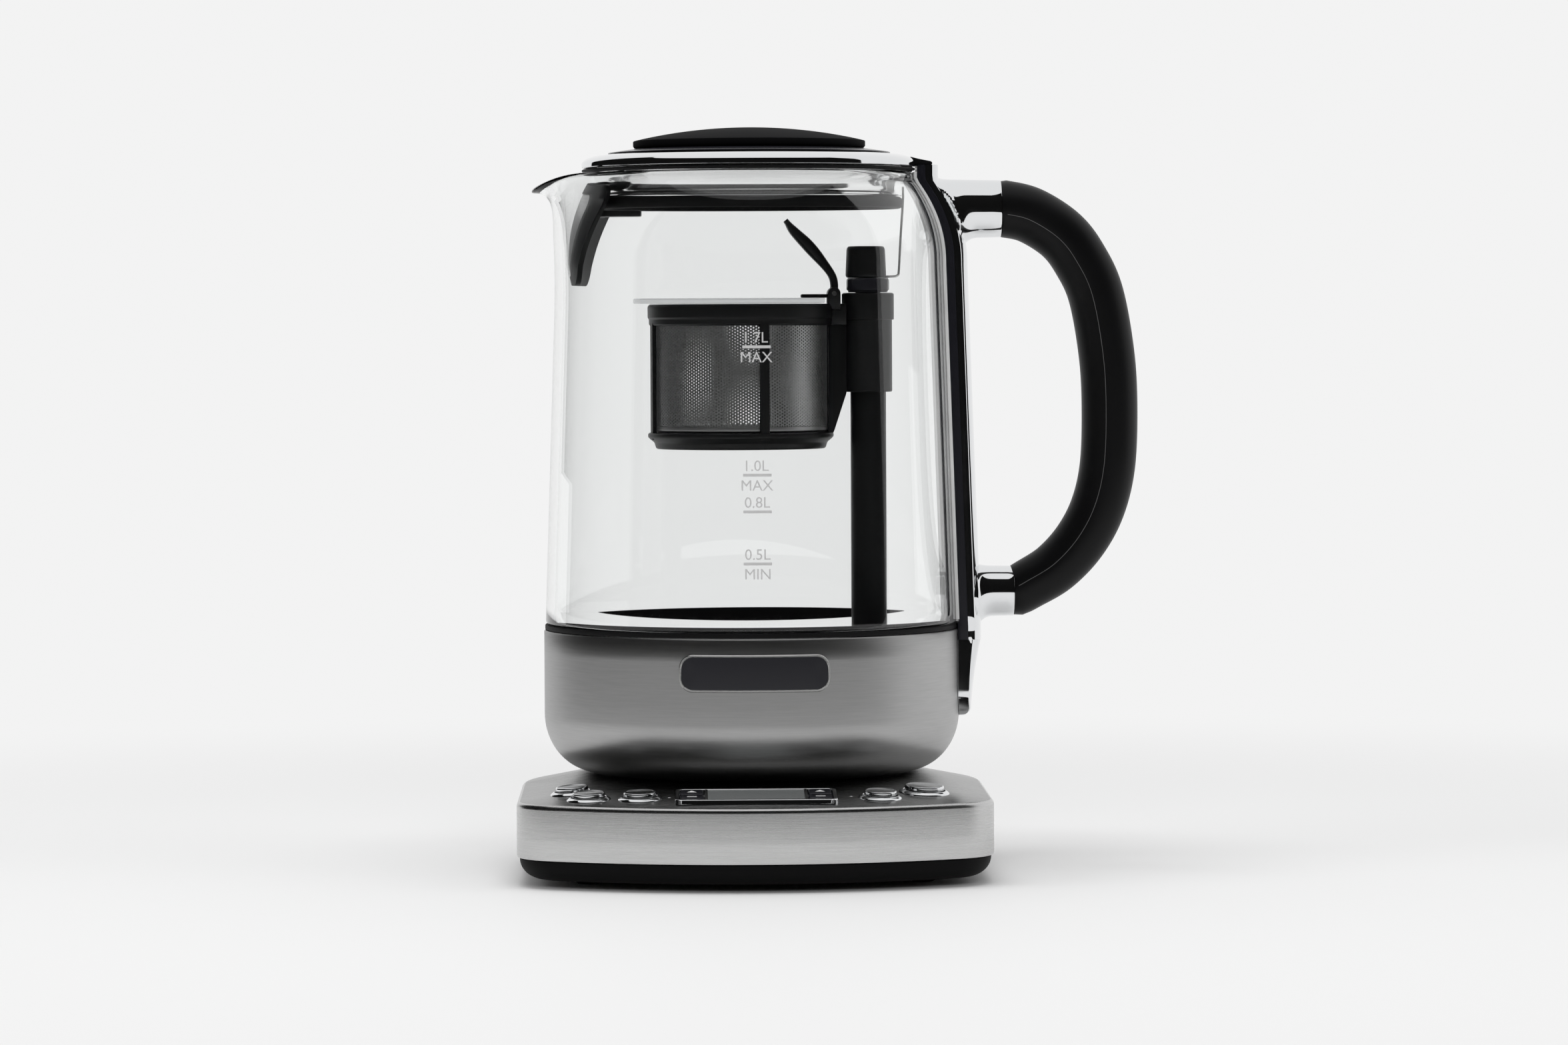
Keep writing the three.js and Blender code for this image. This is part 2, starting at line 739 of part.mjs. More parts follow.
function displayKey() {
  const width = wellHalfWidth - keyInner - 2 * seatGap;
  const depth = wellHalfDepth - 1.5 * seatGap;
  return roundedPlate(width, depth, bezelBorder / 2, bezelHeight - seatGap - keyThick, bezelHeight);
}

function makeBase() {
  const group = new THREE.Group();
  add(group, 'base_shell', baseShell(), brushedSteel());
  add(group, 'base_pan', basePan(), blackPlastic());
  footPlaces().forEach(({ name, x, y }) => add(group, name, foot(), rubber()).position.set(x, y, 0));
  add(group, 'power_connector', powerConnector(), blackPlastic());
  add(group, 'control_board', controlBoard(), circuitGreen());
  add(group, 'cord_gland', cordGland(), rubber()).position.set(0, baseBack - glandSink, glandHeight);
  buttonSpots.forEach(({ name, radius, spot }) => {
    group.add(spot);
    add(spot, `button_ring_${name}`, buttonRing(radius), chrome());
    add(spot, `button_${name}`, roundButton(radius), chrome());
  });
  group.add(displaySpot);
  add(displaySpot, 'display_bezel', displayBezel(), chrome());
  add(displaySpot, 'display_window', displayWindow(), clearPlastic());
  [['left', -1], ['right', 1]].forEach(([side, way]) => {
    [['rear', 1], ['front', -1]].forEach(([row, up]) => {
      const key = add(displaySpot, `display_key_${side}_${row}`, displayKey(), blackPlastic());
      key.position.set(way * (keyInner + wellHalfWidth) / 2, up * (wellHalfDepth / 2), 0);
    });
  });
  return group;
}

// Jug

// Outer radius of the glass at a height: a slight taper, then the shoulder up to the neck.
function glassRadius(z) {
  const taper = (glassFootRadius - shoulderRadius) / (shoulderStart - glassFoot);
  if (z <= shoulderStart) return glassFootRadius - taper * (z - glassFoot);
  const share = Math.min((z - shoulderStart) / (neckStart - shoulderStart), 1);
  return shoulderRadius - (shoulderRadius - neckRadius) * share ** shoulderPower;
}

const tallShares = [0, 0.9, 1];
const shoulderShares = [0.36, 0.64, 0.85, 1];

function glassHeights(low, high) {
  const tall = tallShares.map((share) => glassFoot + share * (shoulderStart - glassFoot));
  const shoulder = shoulderShares.map((share) => shoulderStart + share * (neckStart - shoulderStart));
  const inside = [...tall, ...shoulder].filter((z) => z > low + seatGap && z < high - seatGap);
  return [low, ...inside, high];
}

// The pulled spout: near -X the shoulder is pushed out to the wall line and the rim flares to a lip.
function pullSpout(geometry) {
  const at = geometry.getAttribute('position');
  for (let i = 0; i < at.count; i += 1) {
    const [x, y, z] = [at.getX(i), at.getY(i), at.getZ(i)];
    const away = Math.abs(Math.atan2(y, -x));
    if (z <= spoutRoot || away >= spoutHalfAngle) continue;
    const bell = Math.cos((away / spoutHalfAngle) * (Math.PI / 2)) ** 2;
    const flareShare = Math.max((z - spoutFlareStart) / (rimHeight - spoutFlareStart), 0) ** spoutFlarePower;
    const line = spoutWallRadius + spoutLip * flareShare * bell;
    const ease = Math.min((z - spoutRoot) / (spoutFlareStart - spoutRoot), 1);
    const push = Math.max(line - glassRadius(z), 0) * bell * ease;
    const reach = Math.hypot(x, y);
    const grow = (reach + push) / reach;
    at.setXYZ(i, x * grow, y * grow, z - spoutDroop * flareShare * bell);
  }
  return geometry;
}

function glassJug() {
  const heights = glassHeights(glassFoot, rimHeight);
  const outer = heights.map((z) => [glassRadius(z), z]);
  const inner = heights.map((z) => [glassRadius(z) - glassWall, z]).reverse();
  return pullSpout(turned([...outer, ...inner]));
}

function jugShell() {
  const arcOf = (wall) => {
    const points = [];
    for (let step = 0; step <= cornerSteps; step += 1) {
      const angle = (step / cornerSteps) * (Math.PI / 2);
      const r = jugRadius - footReach + (footReach - wall) * Math.sin(angle);
      points.push([r, shellBottom + footRise - (footRise - wall) * Math.cos(angle)]);
    }
    return points;
  };
  return turned([[coverOpening, shellBottom], ...arcOf(0), [jugRadius, shellTop],
    [jugRadius - shellWall, shellTop], ...arcOf(shellWall).reverse(),
    [coverOpening, shellBottom + shellWall]]);
}

function bottomCover() {
  const low = shellBottom - seatGap;
  const ledge = shellBottom + shellWall + seatGap;
  const bore = socketRadius + socketWall + seatGap;
  const foot = coverOpening - seatGap;
  return turned([[bore, low], [foot, low], [foot, ledge], [coverOpening + coverLedge, ledge],
    [coverOpening + coverLedge, coverTop], [bore, coverTop]]);
}

function jugConnector() {
  const wall = socketRadius + socketWall;
  const deck = coverTop + seatGap;
  return turned([[0, socketTop], [socketRadius, socketTop], [socketRadius, shellBottom], [wall, shellBottom],
    [wall, deck], [wall + socketFlange, deck], [wall + socketFlange, socketTop + socketRoof],
    [0, socketTop + socketRoof]], midSides);
}

// The dished jug floor, with a rolled rim that the glass stands on.
function heaterPlate() {
  const rim = jugRadius - shellWall - seatGap;
  const rimTop = shellTop;
  const flat = rim - plateDish;
  const bend = rim - plateDish / 2;
  const plateBody = turned([[0, floorHeight - plateThick], [flat, floorHeight - plateThick],
    [bend, floorHeight], [bend + plateThick, rimTop - plateThick], [rim, rimTop - plateThick],
    [rim, rimTop], [bend, rimTop], [bend - plateThick, floorHeight + plateThick],
    [flat, floorHeight], [0, floorHeight]]);
  const [under, over] = [floorHeight - overrun - plateThick, floorHeight + overrun];
  const shaftHole = round(screwCollarRadius + slideGap, under, over);
  const probeHole = round(probeRadius + seatGap, under, over);
  return cut(plateBody, shaftHole.translate(postX, 0, 0), probeHole.translate(-probeX, 0, 0));
}

// A sheathed ring under the floor, open where its two cold ends turn down.
function heatingElement() {
  const level = floorHeight - plateThick - seatGap - elementTube;
  const from = Math.PI - elementSweep / 2;
  const ring = sector(() => {
    const points = [];
    for (let side = 0; side < tubeSides; side += 1) {
      const angle = (side / tubeSides) * 2 * Math.PI;
      points.push([elementRadius + elementTube * Math.cos(angle), level + elementTube * Math.sin(angle)]);
    }
    return points;
  }, from, from + elementSweep, midSides);
  const ends = [from, from + elementSweep].map((angle) => (
    round(elementTube, level - 3 * elementTube, level, tubeSides)
      .translate(elementRadius * Math.cos(angle), elementRadius * Math.sin(angle), 0)));
  return join(ring, ...ends);
}

function temperatureProbe() {
  const flangeTop = floorHeight - plateThick - seatGap;
  const tip = floorHeight + probeRise;
  const bevel = probeRadius / 2;
  return turned([[0, flangeTop - 2 * probeRadius], [2 * probeRadius, flangeTop - 2 * probeRadius],
    [2 * probeRadius, flangeTop], [probeRadius, flangeTop], [probeRadius, tip - bevel],
    [probeRadius - bevel, tip], [0, tip]], smallSides);
}

function glassGasket() {
  const outer = glassFootRadius;
  const lipOuter = glassFootRadius - glassWall - seatGap;
  const inner = lipOuter - glassWall / 2;
  const top = gasketFoot + gasketThick;
  return turned([[inner, gasketFoot], [outer, gasketFoot], [outer, top], [lipOuter, top],
    [lipOuter, top + gasketLip], [inner, top + gasketLip]]);
}

// A thin curved plate in the shell's front, with round ends; it stays bare.
function badgePlate() {
  const inner = jugRadius + seatGap;
  const middle = -Math.PI / 2;
  const half = badgeWidth / 2 / jugRadius;
  const low = badgeMiddle - badgeHeight / 2;
  const section = [[inner, low], [inner + badgeThick, low],
    [inner + badgeThick, low + badgeHeight], [inner, low + badgeHeight]];
  const band = sector(() => section, middle - half, middle + half, smallSides);
  const width = 2 * inner * Math.sin(half);
  const outline = roundedPlate(width, badgeHeight, badgeCorner, 0, jugRadius + overrun)
    .rotateX(Math.PI / 2).translate(0, 0, badgeMiddle);
  return common(band, outline);
}

// Points of the glass's outer line moved out by two offsets, for what follows it from low to high.
function lipProfile(offsetIn, offsetOut, low, high) {
  const heights = glassHeights(low, high);
  const inner = heights.map((z) => [glassRadius(z) + offsetIn, z]);
  const outer = heights.map((z) => [glassRadius(z) + offsetOut, z]).reverse();
  return { inner, outer };
}

// Flare of the lower ferrule: shares of its flare and of the flare's length
const ferruleFlareShares = [[1, 0], [0.3, 0.4], [0, 1]];

// The black strip down the glass, under the cast spine; its foot laps the steel shell.
function spineStrip() {
  const { inner, outer } = lipProfile(seatGap, stripThick, glassFoot, rimHeight);
  const lap = jugRadius + seatGap;
  const foot = glassFootRadius + stripThick;
  const profile = [[lap, stripFoot], [lap, glassFoot - seatGap], ...inner, ...outer, [foot, stripFoot]];
  return sector(() => profile, -spineHalfAngle, spineHalfAngle, 3);
}

// The lower boss: flared where it leaves the spine, then straight to the face the grip butts against.
function lowerFerrule() {
  const root = jugRadius + stripThick;
  const flare = ferruleFlareShares.map(([out, along]) => (
    [lowerFerruleRadius + ferruleFlare * out, root + ferruleFlareLength * along]));
  const body = turned([[0, root], ...flare, [lowerFerruleRadius, lowerFerruleEnd],
    [0, lowerFerruleEnd]], midSides);
  return body.rotateY(Math.PI / 2).translate(0, 0, lowerFerruleZ);
}

// The upper boss: a taper that starts on the shoulder, cut back to the strip's own face.
function upperFerrule() {
  const root = neckRadius + stripThick;
  const body = turned([[0, root], [upperFerruleRadius + upperFerruleSwell, root],
    [upperFerruleRadius, upperFerruleEnd], [0, upperFerruleEnd]], midSides);
  const { inner } = lipProfile(stripThick + seatGap, stripThick, glassFoot, rimHeight);
  const section = [[neckRadius, glassFoot], ...inner, [neckRadius, rimHeight]];
  const core = sector(() => section, -2 * spineHalfAngle, 2 * spineHalfAngle, midSides);
  return cut(body.rotateY(Math.PI / 2).translate(0, 0, upperFerruleZ), core);
}

// The chrome casting: a crowned spine from rim to shell, with the two ferrules grown out of it.
function handleSpine() {
  const { inner, outer } = lipProfile(stripThick + seatGap, stripThick + spineThick, glassFoot, rimHeight);
  const lap = jugRadius + seatGap;
  const back = glassFootRadius + stripThick;
  const tipRise = spineThick;
  const profileAt = (share) => {
    const crown = spineCrown * (1 - (2 * share - 1) ** 2);
    const crowned = outer.map(([r, z]) => [r + crown, z]);
    return [[lap, spineFoot + tipRise], [lap, stripFoot - seatGap], [back + seatGap, stripFoot - seatGap],
      ...inner, ...crowned, [back + spineThick + crown, stripFoot],
      [lap + stripThick + crown - spineFootTaper / 2, spineFoot + 3 * tipRise],
      [lap + stripThick - spineFootTaper, spineFoot]];
  };
  const spine = sector(profileAt, -spineHalfAngle, spineHalfAngle, 4);
  return join(common(spine, tongueOutline()), lowerFerrule(), upperFerrule());
}

// The casting seen from behind: straight sides and a round-cornered tip low on the steel shell.
function tongueOutline() {
  const top = rimHeight + spineTipRadius + overrun;
  const width = 2 * (jugRadius + stripThick) * Math.sin(spineHalfAngle);
  return roundedPlate(width, top - spineFoot, spineTipRadius, 0, 2 * jugRadius)
    .rotateX(Math.PI / 2).rotateZ(Math.PI / 2).translate(0, 0, (top + spineFoot) / 2);
}

// Grip centreline: shares of the reach past the ferrule ends, and of the height between them.
const gripRouteShares = [[0, 1], [0.27, 0.983], [0.547, 0.9325], [0.723, 0.868], [0.874, 0.774],
  [0.975, 0.613], [1, 0.4655], [0.975, 0.322], [0.873, 0.214], [0.69, 0.128], [0.437, 0.06],
  [0.155, 0.0165], [0, 0]];

function handleGrip() {
  const route = gripRouteShares.map(([reach, rise]) => {
    const end = lowerFerruleEnd + (upperFerruleEnd - lowerFerruleEnd) * rise + seatGap;
    return new THREE.Vector3(end + (gripReach - end) * reach, 0,
      lowerFerruleZ + (upperFerruleZ - lowerFerruleZ) * rise);
  });
  const curve = new THREE.CatmullRomCurve3(route);
  const rings = [];
  for (let step = 0; step <= gripSteps; step += 1) {
    const share = step / gripSteps;
    const centre = curve.getPointAt(share);
    const atEnd = step === 0 || step === gripSteps;
    const ahead = atEnd ? new THREE.Vector3(step ? -1 : 1, 0, 0) : curve.getTangentAt(share);
    const side = new THREE.Vector3(ahead.z, 0, -ahead.x);
    const ends = upperFerruleRadius + (lowerFerruleRadius - upperFerruleRadius) * share;
    const radius = ends + (gripMiddleRadius - ends) * Math.sin(Math.PI * share);
    const ring = [];
    for (let k = 0; k < gripSides; k += 1) {
      const angle = (k / gripSides) * 2 * Math.PI;
      const out = side.clone().multiplyScalar(radius * Math.cos(angle));
      ring.push(centre.clone().add(out).add(new THREE.Vector3(0, radius * Math.sin(angle), 0)));
    }
    rings.push(ring);
  }
  return loft(rings);
}

function spineCap() {
  const low = rimHeight + seatGap;
  const top = low + capRise;
  return plate([[capInner, low], [capOuter, low], [capOuter, top - 2 * capSlope],
    [capOuter - capSlope, top - capSlope], [capInner + capSlope, top],
    [capInner, top - capSlope / 2]], capHalfWidth);
}

// Post with its lift drive

function postTube() {
  return turned([[postBore, postFoot], [postFlangeRadius, postFoot],
    [postFlangeRadius, postFoot + postFlangeThick], [postRadius, postFoot + postFlangeThick],
    [postRadius, postTop], [postBore, postTop]], midSides);
}

function postCap() {
  const low = postTop + seatGap;
  const neckTop = low + capNeckHeight;
  const top = low + capHeight;
  const plug = postBore - seatGap;
  const bore = screwRadius + seatGap;
  const edge = capRadius * capEdgeShare;
  return turned([[0, low - seatGap], [bore, low - seatGap], [bore, low - capPlugDepth],
    [plug, low - capPlugDepth], [plug, low], [capNeckRadius, low], [capNeckRadius, neckTop],
    [capRadius, neckTop + edge],
    [capRadius, top - edge], [capRadius - edge, top], [0, top]], midSides);
}

const motorFoot = coverTop + seatGap;
const motorTop = motorFoot + motorHeight + gearboxHeight;
const screwFoot = motorTop + screwRadius + seatGap;

function liftMotor() {
  return turned([[0, motorFoot], [motorRadius, motorFoot], [motorRadius, motorFoot + motorHeight],
    [gearboxRadius, motorFoot + motorHeight], [gearboxRadius, motorTop], [screwRadius, motorTop],
    [screwRadius, motorTop + screwRadius], [0, motorTop + screwRadius]], midSides);
}

function leadScrew() {
  const collarTop = screwFoot + screwCollarHeight;
  const top = postTop - seatGap - slideGap;
  return turned([[0, screwFoot], [screwCollarRadius, screwFoot], [screwCollarRadius, collarTop],
    [screwRadius, collarTop], [screwRadius, top], [0, top]], smallSides);
}

function driveNut() {
  const top = postTop + seatGap - capPlugDepth - slideGap;
  const bore = screwRadius + seatGap;
  const outer = postBore - seatGap;
  return turned([[bore, top - nutHeight], [outer, top - nutHeight], [outer, top], [bore, top]], smallSides);
}

// Feeler route: shares of its reach out from the cap and of its rise
const wireRouteShares = [[0, 0], [0.5, 0.05], [0.7, 0.4], [1, 0.75], [1, 1]];

// A thin feeler wire from the post's cap to the neck, beside the lid's seal.
function sensorWire() {
  const start = postX + capRadius + seatGap;
  const low = postTop + capHeight / 2;
  const rise = wireTop - low;
  const route = new THREE.CatmullRomCurve3(wireRouteShares.map(([out, up]) => (
    new THREE.Vector3(start + (wireTopX - start) * out, 0, low + rise * up))));
  const section = new THREE.Shape();
  section.absarc(0, 0, wireRadius, 0, 2 * Math.PI);
  const options = { extrudePath: route, steps: smallSides, curveSegments: edgeSteps };
  return new THREE.ExtrudeGeometry(section, options);
}

// Infuser

function basketFrame() {
  const bore = basketRimRadius - basketRimWall;
  const rimLow = basketRimTop - basketRimHeight;
  const footTop = basketFoot + basketFootHeight;
  const rim = turned([[bore, rimLow], [basketRimRadius - basketRimWall / 3, rimLow],
    [basketRimRadius, basketRimTop], [bore, basketRimTop]]);
  const flangeLow = footTop - basketFlangeHeight;
  const foot = turned([[basketFootRadius - basketRimWall, basketFoot], [basketFootRadius, basketFoot],
    [basketFootRadius + basketRimWall / 4, flangeLow - basketFlangeHeight], [basketRimRadius, flangeLow],
    [basketRimRadius, footTop], [basketFootRadius - basketRimWall, footTop]]);
  const ribs = [];
  for (let i = 0; i < ribCount; i += 1) {
    const rib = block([bore, basketRimRadius - basketRimWall / 4], [-ribWidth / 2, ribWidth / 2],
      [flangeLow, basketRimTop - basketRimHeight / 2]);
    ribs.push(rib.rotateZ(Math.PI + ribTurn + (i * 2 * Math.PI) / ribCount));
  }
  const toPost = postX - basketX;
  const sleeveOuter = sleeveBore + sleeveWall;
  const sleeveTop = postTop - seatGap;
  const sleeve = turned([[0, sleeveFoot], [sleeveOuter, sleeveFoot], [sleeveOuter, sleeveTop - collarHeight],
    [sleeveOuter + collarProud, sleeveTop - collarHeight], [sleeveOuter + collarProud, sleeveTop],
    [0, sleeveTop]], midSides).translate(toPost, 0, 0);
  const web = toPost - sleeveOuter + sleeveWall / 2;
  const bridge = block([bore + basketRimWall / 2, web], [-bridgeHalfWidth, bridgeHalfWidth],
    [rimLow, basketRimTop]);
  const arm = plate([[bore + seatGap, flangeLow], [basketRimRadius, footTop], [web, sleeveFoot],
    [web, rimLow + seatGap], [bore + seatGap, rimLow + seatGap]], armHalfWidth);
  const slideBore = round(sleeveBore, sleeveFoot - overrun, sleeveTop + overrun, midSides)
    .translate(toPost, 0, 0);
  return cut(join(rim, foot, ...ribs, sleeve, bridge, arm, ...hingeEars()), slideBore);
}

function hingeEars() {
  const pivot = hingeX - basketX;
  return [-1, 1].map((way) => {
    const near = hingeHalfWidth + seatGap;
    const y = way > 0 ? [near, near + earThick] : [-near - earThick, -near];
    const web = block([pivot - hingeRadius, pivot + hingeRadius], y, [basketRimTop - basketRimWall, hingeZ]);
    const eye = round(hingeRadius, y[0], y[1]).rotateX(-Math.PI / 2).translate(pivot, 0, hingeZ);
    const hole = round(hingePinRadius + seatGap, y[0] - overrun, y[1] + overrun, pinSides)
      .rotateX(-Math.PI / 2).translate(pivot, 0, hingeZ);
    return cut(join(web, eye), hole);
  });
}

// The strainer cup, with its perforations left to the surface model.
function basketMesh() {
  const top = basketRimTop - seatGap;
  return turned([[0, meshFoot], [meshRadius, meshFoot], [meshRadius, top], [meshRadius - meshWall, top],
    [meshRadius - meshWall, meshFoot + meshWall], [0, meshFoot + meshWall]]);
}

function hingePin() {
  const reach = hingeHalfWidth + seatGap + earThick;
  return round(hingePinRadius, -reach, reach, pinSides).rotateX(Math.PI / 2);
}

const lidPlateFoot = basketRimTop + seatGap;

function infuserLid() {
  const disc = turned([[0, lidPlateFoot], [infuserLidRadius, lidPlateFoot],
    [infuserLidRadius, lidPlateFoot + infuserLidThick], [0, lidPlateFoot + infuserLidThick]]);
  const trim = infuserLidTrim - basketX;
  return cut(disc, block([trim, infuserLidRadius + overrun], [-infuserLidRadius, infuserLidRadius],
    [lidPlateFoot - overrun, lidPlateFoot + infuserLidThick + overrun]));
}

// Knuckle on the pin, a pad on the clear lid, and the bent arm that lifts it.
function lidLever() {
  const pad = lidPlateFoot + infuserLidThick + seatGap - hingeZ;
  const knuckle = round(hingeRadius, -hingeHalfWidth, hingeHalfWidth).rotateX(Math.PI / 2);
  const foot = block([-leverPadLength, 0], [-leverHalfWidth, leverHalfWidth], [pad, pad + leverPadThick]);
  const half = leverThick / 2;
  const arm = plate([[-leverThick + half / 2, 0], [half / 2, 0], [half / 2, leverElbowRise],
    [-leverTipReach + leverThick, leverTipRise], [-leverTipReach, leverTipRise - half],
    [-leverThick + half / 2, leverElbowRise - half / 2]], leverHalfWidth);
  const hole = round(hingePinRadius + seatGap, -hingeHalfWidth - overrun, hingeHalfWidth + overrun, pinSides)
    .rotateX(Math.PI / 2);
  return cut(join(knuckle, foot, arm), hole);
}

function makeInfuser() {
  const group = new THREE.Group();
  group.position.x = basketX;
  add(group, 'basket_frame', basketFrame(), blackPlastic());
  add(group, 'basket_mesh', basketMesh(), brushedSteel());
  add(group, 'infuser_lid', infuserLid(), clearPlastic());
  const hinge = new THREE.Group();
  hinge.position.set(hingeX - basketX, 0, hingeZ);
  add(hinge, 'lid_hinge_pin', hingePin(), brushedSteel());
  add(hinge, 'lid_lever', lidLever(), blackPlastic());
  group.add(hinge);
  return group;
}

function makePost() {
  const group = new THREE.Group();
  group.position.x = postX;
  add(group, 'post_tube', postTube(), blackPlastic());
  add(group, 'post_cap', postCap(), blackPlastic());
  add(group, 'lift_motor', liftMotor(), brushedSteel());
  add(group, 'lead_screw', leadScrew(), brushedSteel());
  add(group, 'drive_nut', driveNut(), brass());
  return group;
}

// Spout filter: a curved frame that follows the inside of the glass, with its strainer and clip tab

function filterRadius(z) {
  const foot = Math.max(1 - (z - filterFoot) / (shoulderStart - filterFoot), 0);
  return glassRadius(z) - glassWall - filterGlassGap - filterFootSpread * foot;
}

function filterBand(offsetOut, offsetIn, low, high) {
  const heights = [...Array(cornerSteps + 1).keys()].map((i) => low + ((high - low) * i) / cornerSteps);
  return [...heights.map((z) => [filterRadius(z) - offsetOut, z]),
    ...heights.map((z) => [filterRadius(z) - offsetIn, z]).reverse()];
}

function filterFrame() {
  const window = filterHalfAngle - filterRail;
  const frame = sector(() => filterBand(0, filterWall, filterFoot, filterTop),
    Math.PI - filterHalfAngle, Math.PI + filterHalfAngle, pinSides);
  const opening = sector(() => filterBand(-overrun, filterWall + overrun,
    filterFoot + filterBorder, filterTop - filterBorder), Math.PI - window, Math.PI + window, pinSides);
  const tabTop = sealFoot - seatGap;
  const [outer, inner] = [filterRadius(tabTop) - filterWall / 2, tabReach];
  const bar = [-Math.sqrt(outer * outer - tabHalfWidth * tabHalfWidth), -inner];
  const tab = block(bar, [-tabHalfWidth, tabHalfWidth], [tabTop - tabThick, tabTop]);
  const rail = sector(() => {
    const r = filterRadius(tabTop);
    return [[r - filterWall - tabThick, tabTop - tabThick], [r - filterWall / 2, tabTop - tabThick],
      [r - filterWall / 2, tabTop], [r - filterWall - tabThick, tabTop]];
  }, Math.PI - window - filterRail / 2, Math.PI + window + filterRail / 2, pinSides);
  const seat = window + filterRail / 4;
  const screenBand = filterBand(-overrun, filterWall / 2 + seatGap / 2,
    filterFoot + filterBorder / 2, filterTop - filterBorder / 2);
  const screen = sector(() => screenBand, Math.PI - seat, Math.PI + seat, pinSides);
  return join(cut(frame, opening, screen), tab, cut(rail, screen));
}

function filterMesh() {
  const half = filterHalfAngle - filterRail + filterRail / 4 - seatGap / neckRadius;
  return sector(() => filterBand(0, meshThick, filterFoot + filterBorder / 2 + seatGap,
    filterTop - filterBorder / 2 - seatGap), Math.PI - half, Math.PI + half, pinSides);
}

// Jug lid

// The keyway that the spine's cap stands in
function lidKeyway() {
  return block([capInner - keyway, lidRingRadius + overrun], [-capHalfWidth - keyway, capHalfWidth + keyway],
    [lidFoot - overrun, lidDeck + lidRingRise + overrun]);
}

function lidGasket() {
  const inner = skirtRadius + seatGap;
  return cut(turned([[inner, lidFoot], [lidRingRadius - seatGap, lidFoot],
    [lidRingRadius, lidFoot + lidGasketThick / 2], [lidRingRadius - seatGap, lidDeck - seatGap],
    [inner, lidDeck - seatGap]]), lidKeyway());
}

function lidRing() {
  const top = lidDeck + lidRingRise;
  const points = [[lidRingInner, lidDeck], [lidRingRadius, lidDeck]];
  for (let step = 0; step <= cornerSteps; step += 1) {
    const angle = (step / cornerSteps) * (Math.PI / 2);
    const share = 1 - Math.cos(angle);
    points.push([lidRingRadius - (lidRingRadius - lidDiscRadius) * share,
      lidDeck + seatGap + (lidRingRise - seatGap) * Math.sin(angle)]);
  }
  points.push([lidRingInner, top]);
  return cut(turned(points), lidKeyway());
}

function lidDisc() {
  const hub = lidRingInner - seatGap;
  const top = discFoot + lidDiscRise;
  return turned([[0, lidDeck], [hub, lidDeck], [hub, discFoot], [lidDiscRadius, discFoot],
    [lidDiscRadius, discFoot + seatGap], [knobRadius + seatGap, top], [0, top]]);
}

function lidKnob() {
  const points = [[0, knobFoot], [knobRadius, knobFoot], [knobRadius, knobFoot + knobEdge]];
  for (let step = 1; step <= cornerSteps + 1; step += 1) {
    const share = 1 - step / (cornerSteps + 1);
    const fall = 1 - share * share;
    const rise = knobRoundShare * Math.sqrt(fall) + (1 - knobRoundShare) * fall;
    points.push([knobRadius * share, knobFoot + knobEdge + knobCrown * rise]);
  }
  return turned(points);
}

// An upturned steel cup: the lid's deck and the skirt that drops into the neck.
function lidSkirt() {
  const top = lidDeck - seatGap;
  return turned([[0, top - skirtWall], [skirtRadius - skirtWall, top - skirtWall],
    [skirtRadius - skirtWall, skirtFoot], [skirtRadius, skirtFoot], [skirtRadius, top], [0, top]]);
}

function lidSeal() {
  const outer = skirtRadius + sealProud;
  return turned([[outer - sealWidth, sealFoot], [outer - sealProud, sealFoot],
    [outer, sealFoot + sealDepth / 2], [outer - sealProud, sealFoot + sealDepth],
    [outer - sealWidth, sealFoot + sealDepth]]);
}

function makeLid() {
  const group = new THREE.Group();
  add(group, 'lid_gasket', lidGasket(), rubber());
  add(group, 'lid_ring', lidRing(), chrome());
  add(group, 'lid_disc', lidDisc(), blackPlastic());
  add(group, 'lid_knob', lidKnob(), blackPlastic());
  add(group, 'lid_skirt', lidSkirt(), brushedSteel());
  add(group, 'lid_seal', lidSeal(), rubber());
  return group;
}

function makeJug() {
  const group = new THREE.Group();
  add(group, 'glass_jug', glassJug(), clearGlass());
  add(group, 'glass_gasket', glassGasket(), rubber());
  add(group, 'jug_shell', jugShell(), brushedSteel());
  add(group, 'badge_plate', badgePlate(), blackPlastic());
  add(group, 'heater_plate', heaterPlate(), brushedSteel());
  add(group, 'heating_element', heatingElement(), brushedSteel());
  add(group, 'temperature_probe', temperatureProbe(), brushedSteel()).position.x = -probeX;
  add(group, 'jug_bottom_cover', bottomCover(), blackPlastic());
  add(group, 'jug_connector', jugConnector(), blackPlastic());
  add(group, 'spine_strip', spineStrip(), blackPlastic());
  add(group, 'handle_spine', handleSpine(), chrome());
  add(group, 'handle_grip', handleGrip(), blackPlastic());
  add(group, 'spine_cap', spineCap(), blackPlastic());
  add(group, 'sensor_wire', sensorWire(), brushedSteel());
  add(group, 'filter_frame', filterFrame(), blackPlastic());
  add(group, 'filter_mesh', filterMesh(), brushedSteel());
  group.add(makePost(), makeInfuser(), makeLid());
  return group;
}

// Origin at the middle of the whole outline's footprint, on the floor
const teaMaker = new THREE.Group();
teaMaker.add(makeBase(), makeJug());
const reach = new THREE.Box3().setFromObject(teaMaker);
const middle = reach.getCenter(new THREE.Vector3());
teaMaker.position.set(-middle.x, -middle.y, -reach.min.z);

export default teaMaker;
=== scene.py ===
"""Looks of the automatic tea maker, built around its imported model.

A glass jug with a lift-and-lower infuser stands on a pillow-topped steel power base. Forms are
drawn in millimetres in the jug's own frame, where the jug's axis is the Z axis, and each piece is
moved to its place in the model's frame, in metres, when its mesh is made.
"""

import logging
import math
from collections.abc import Callable, Sequence
from dataclasses import dataclass
from enum import Enum

import bmesh
import bpy
import numpy as np
from mathutils import Matrix, Vector


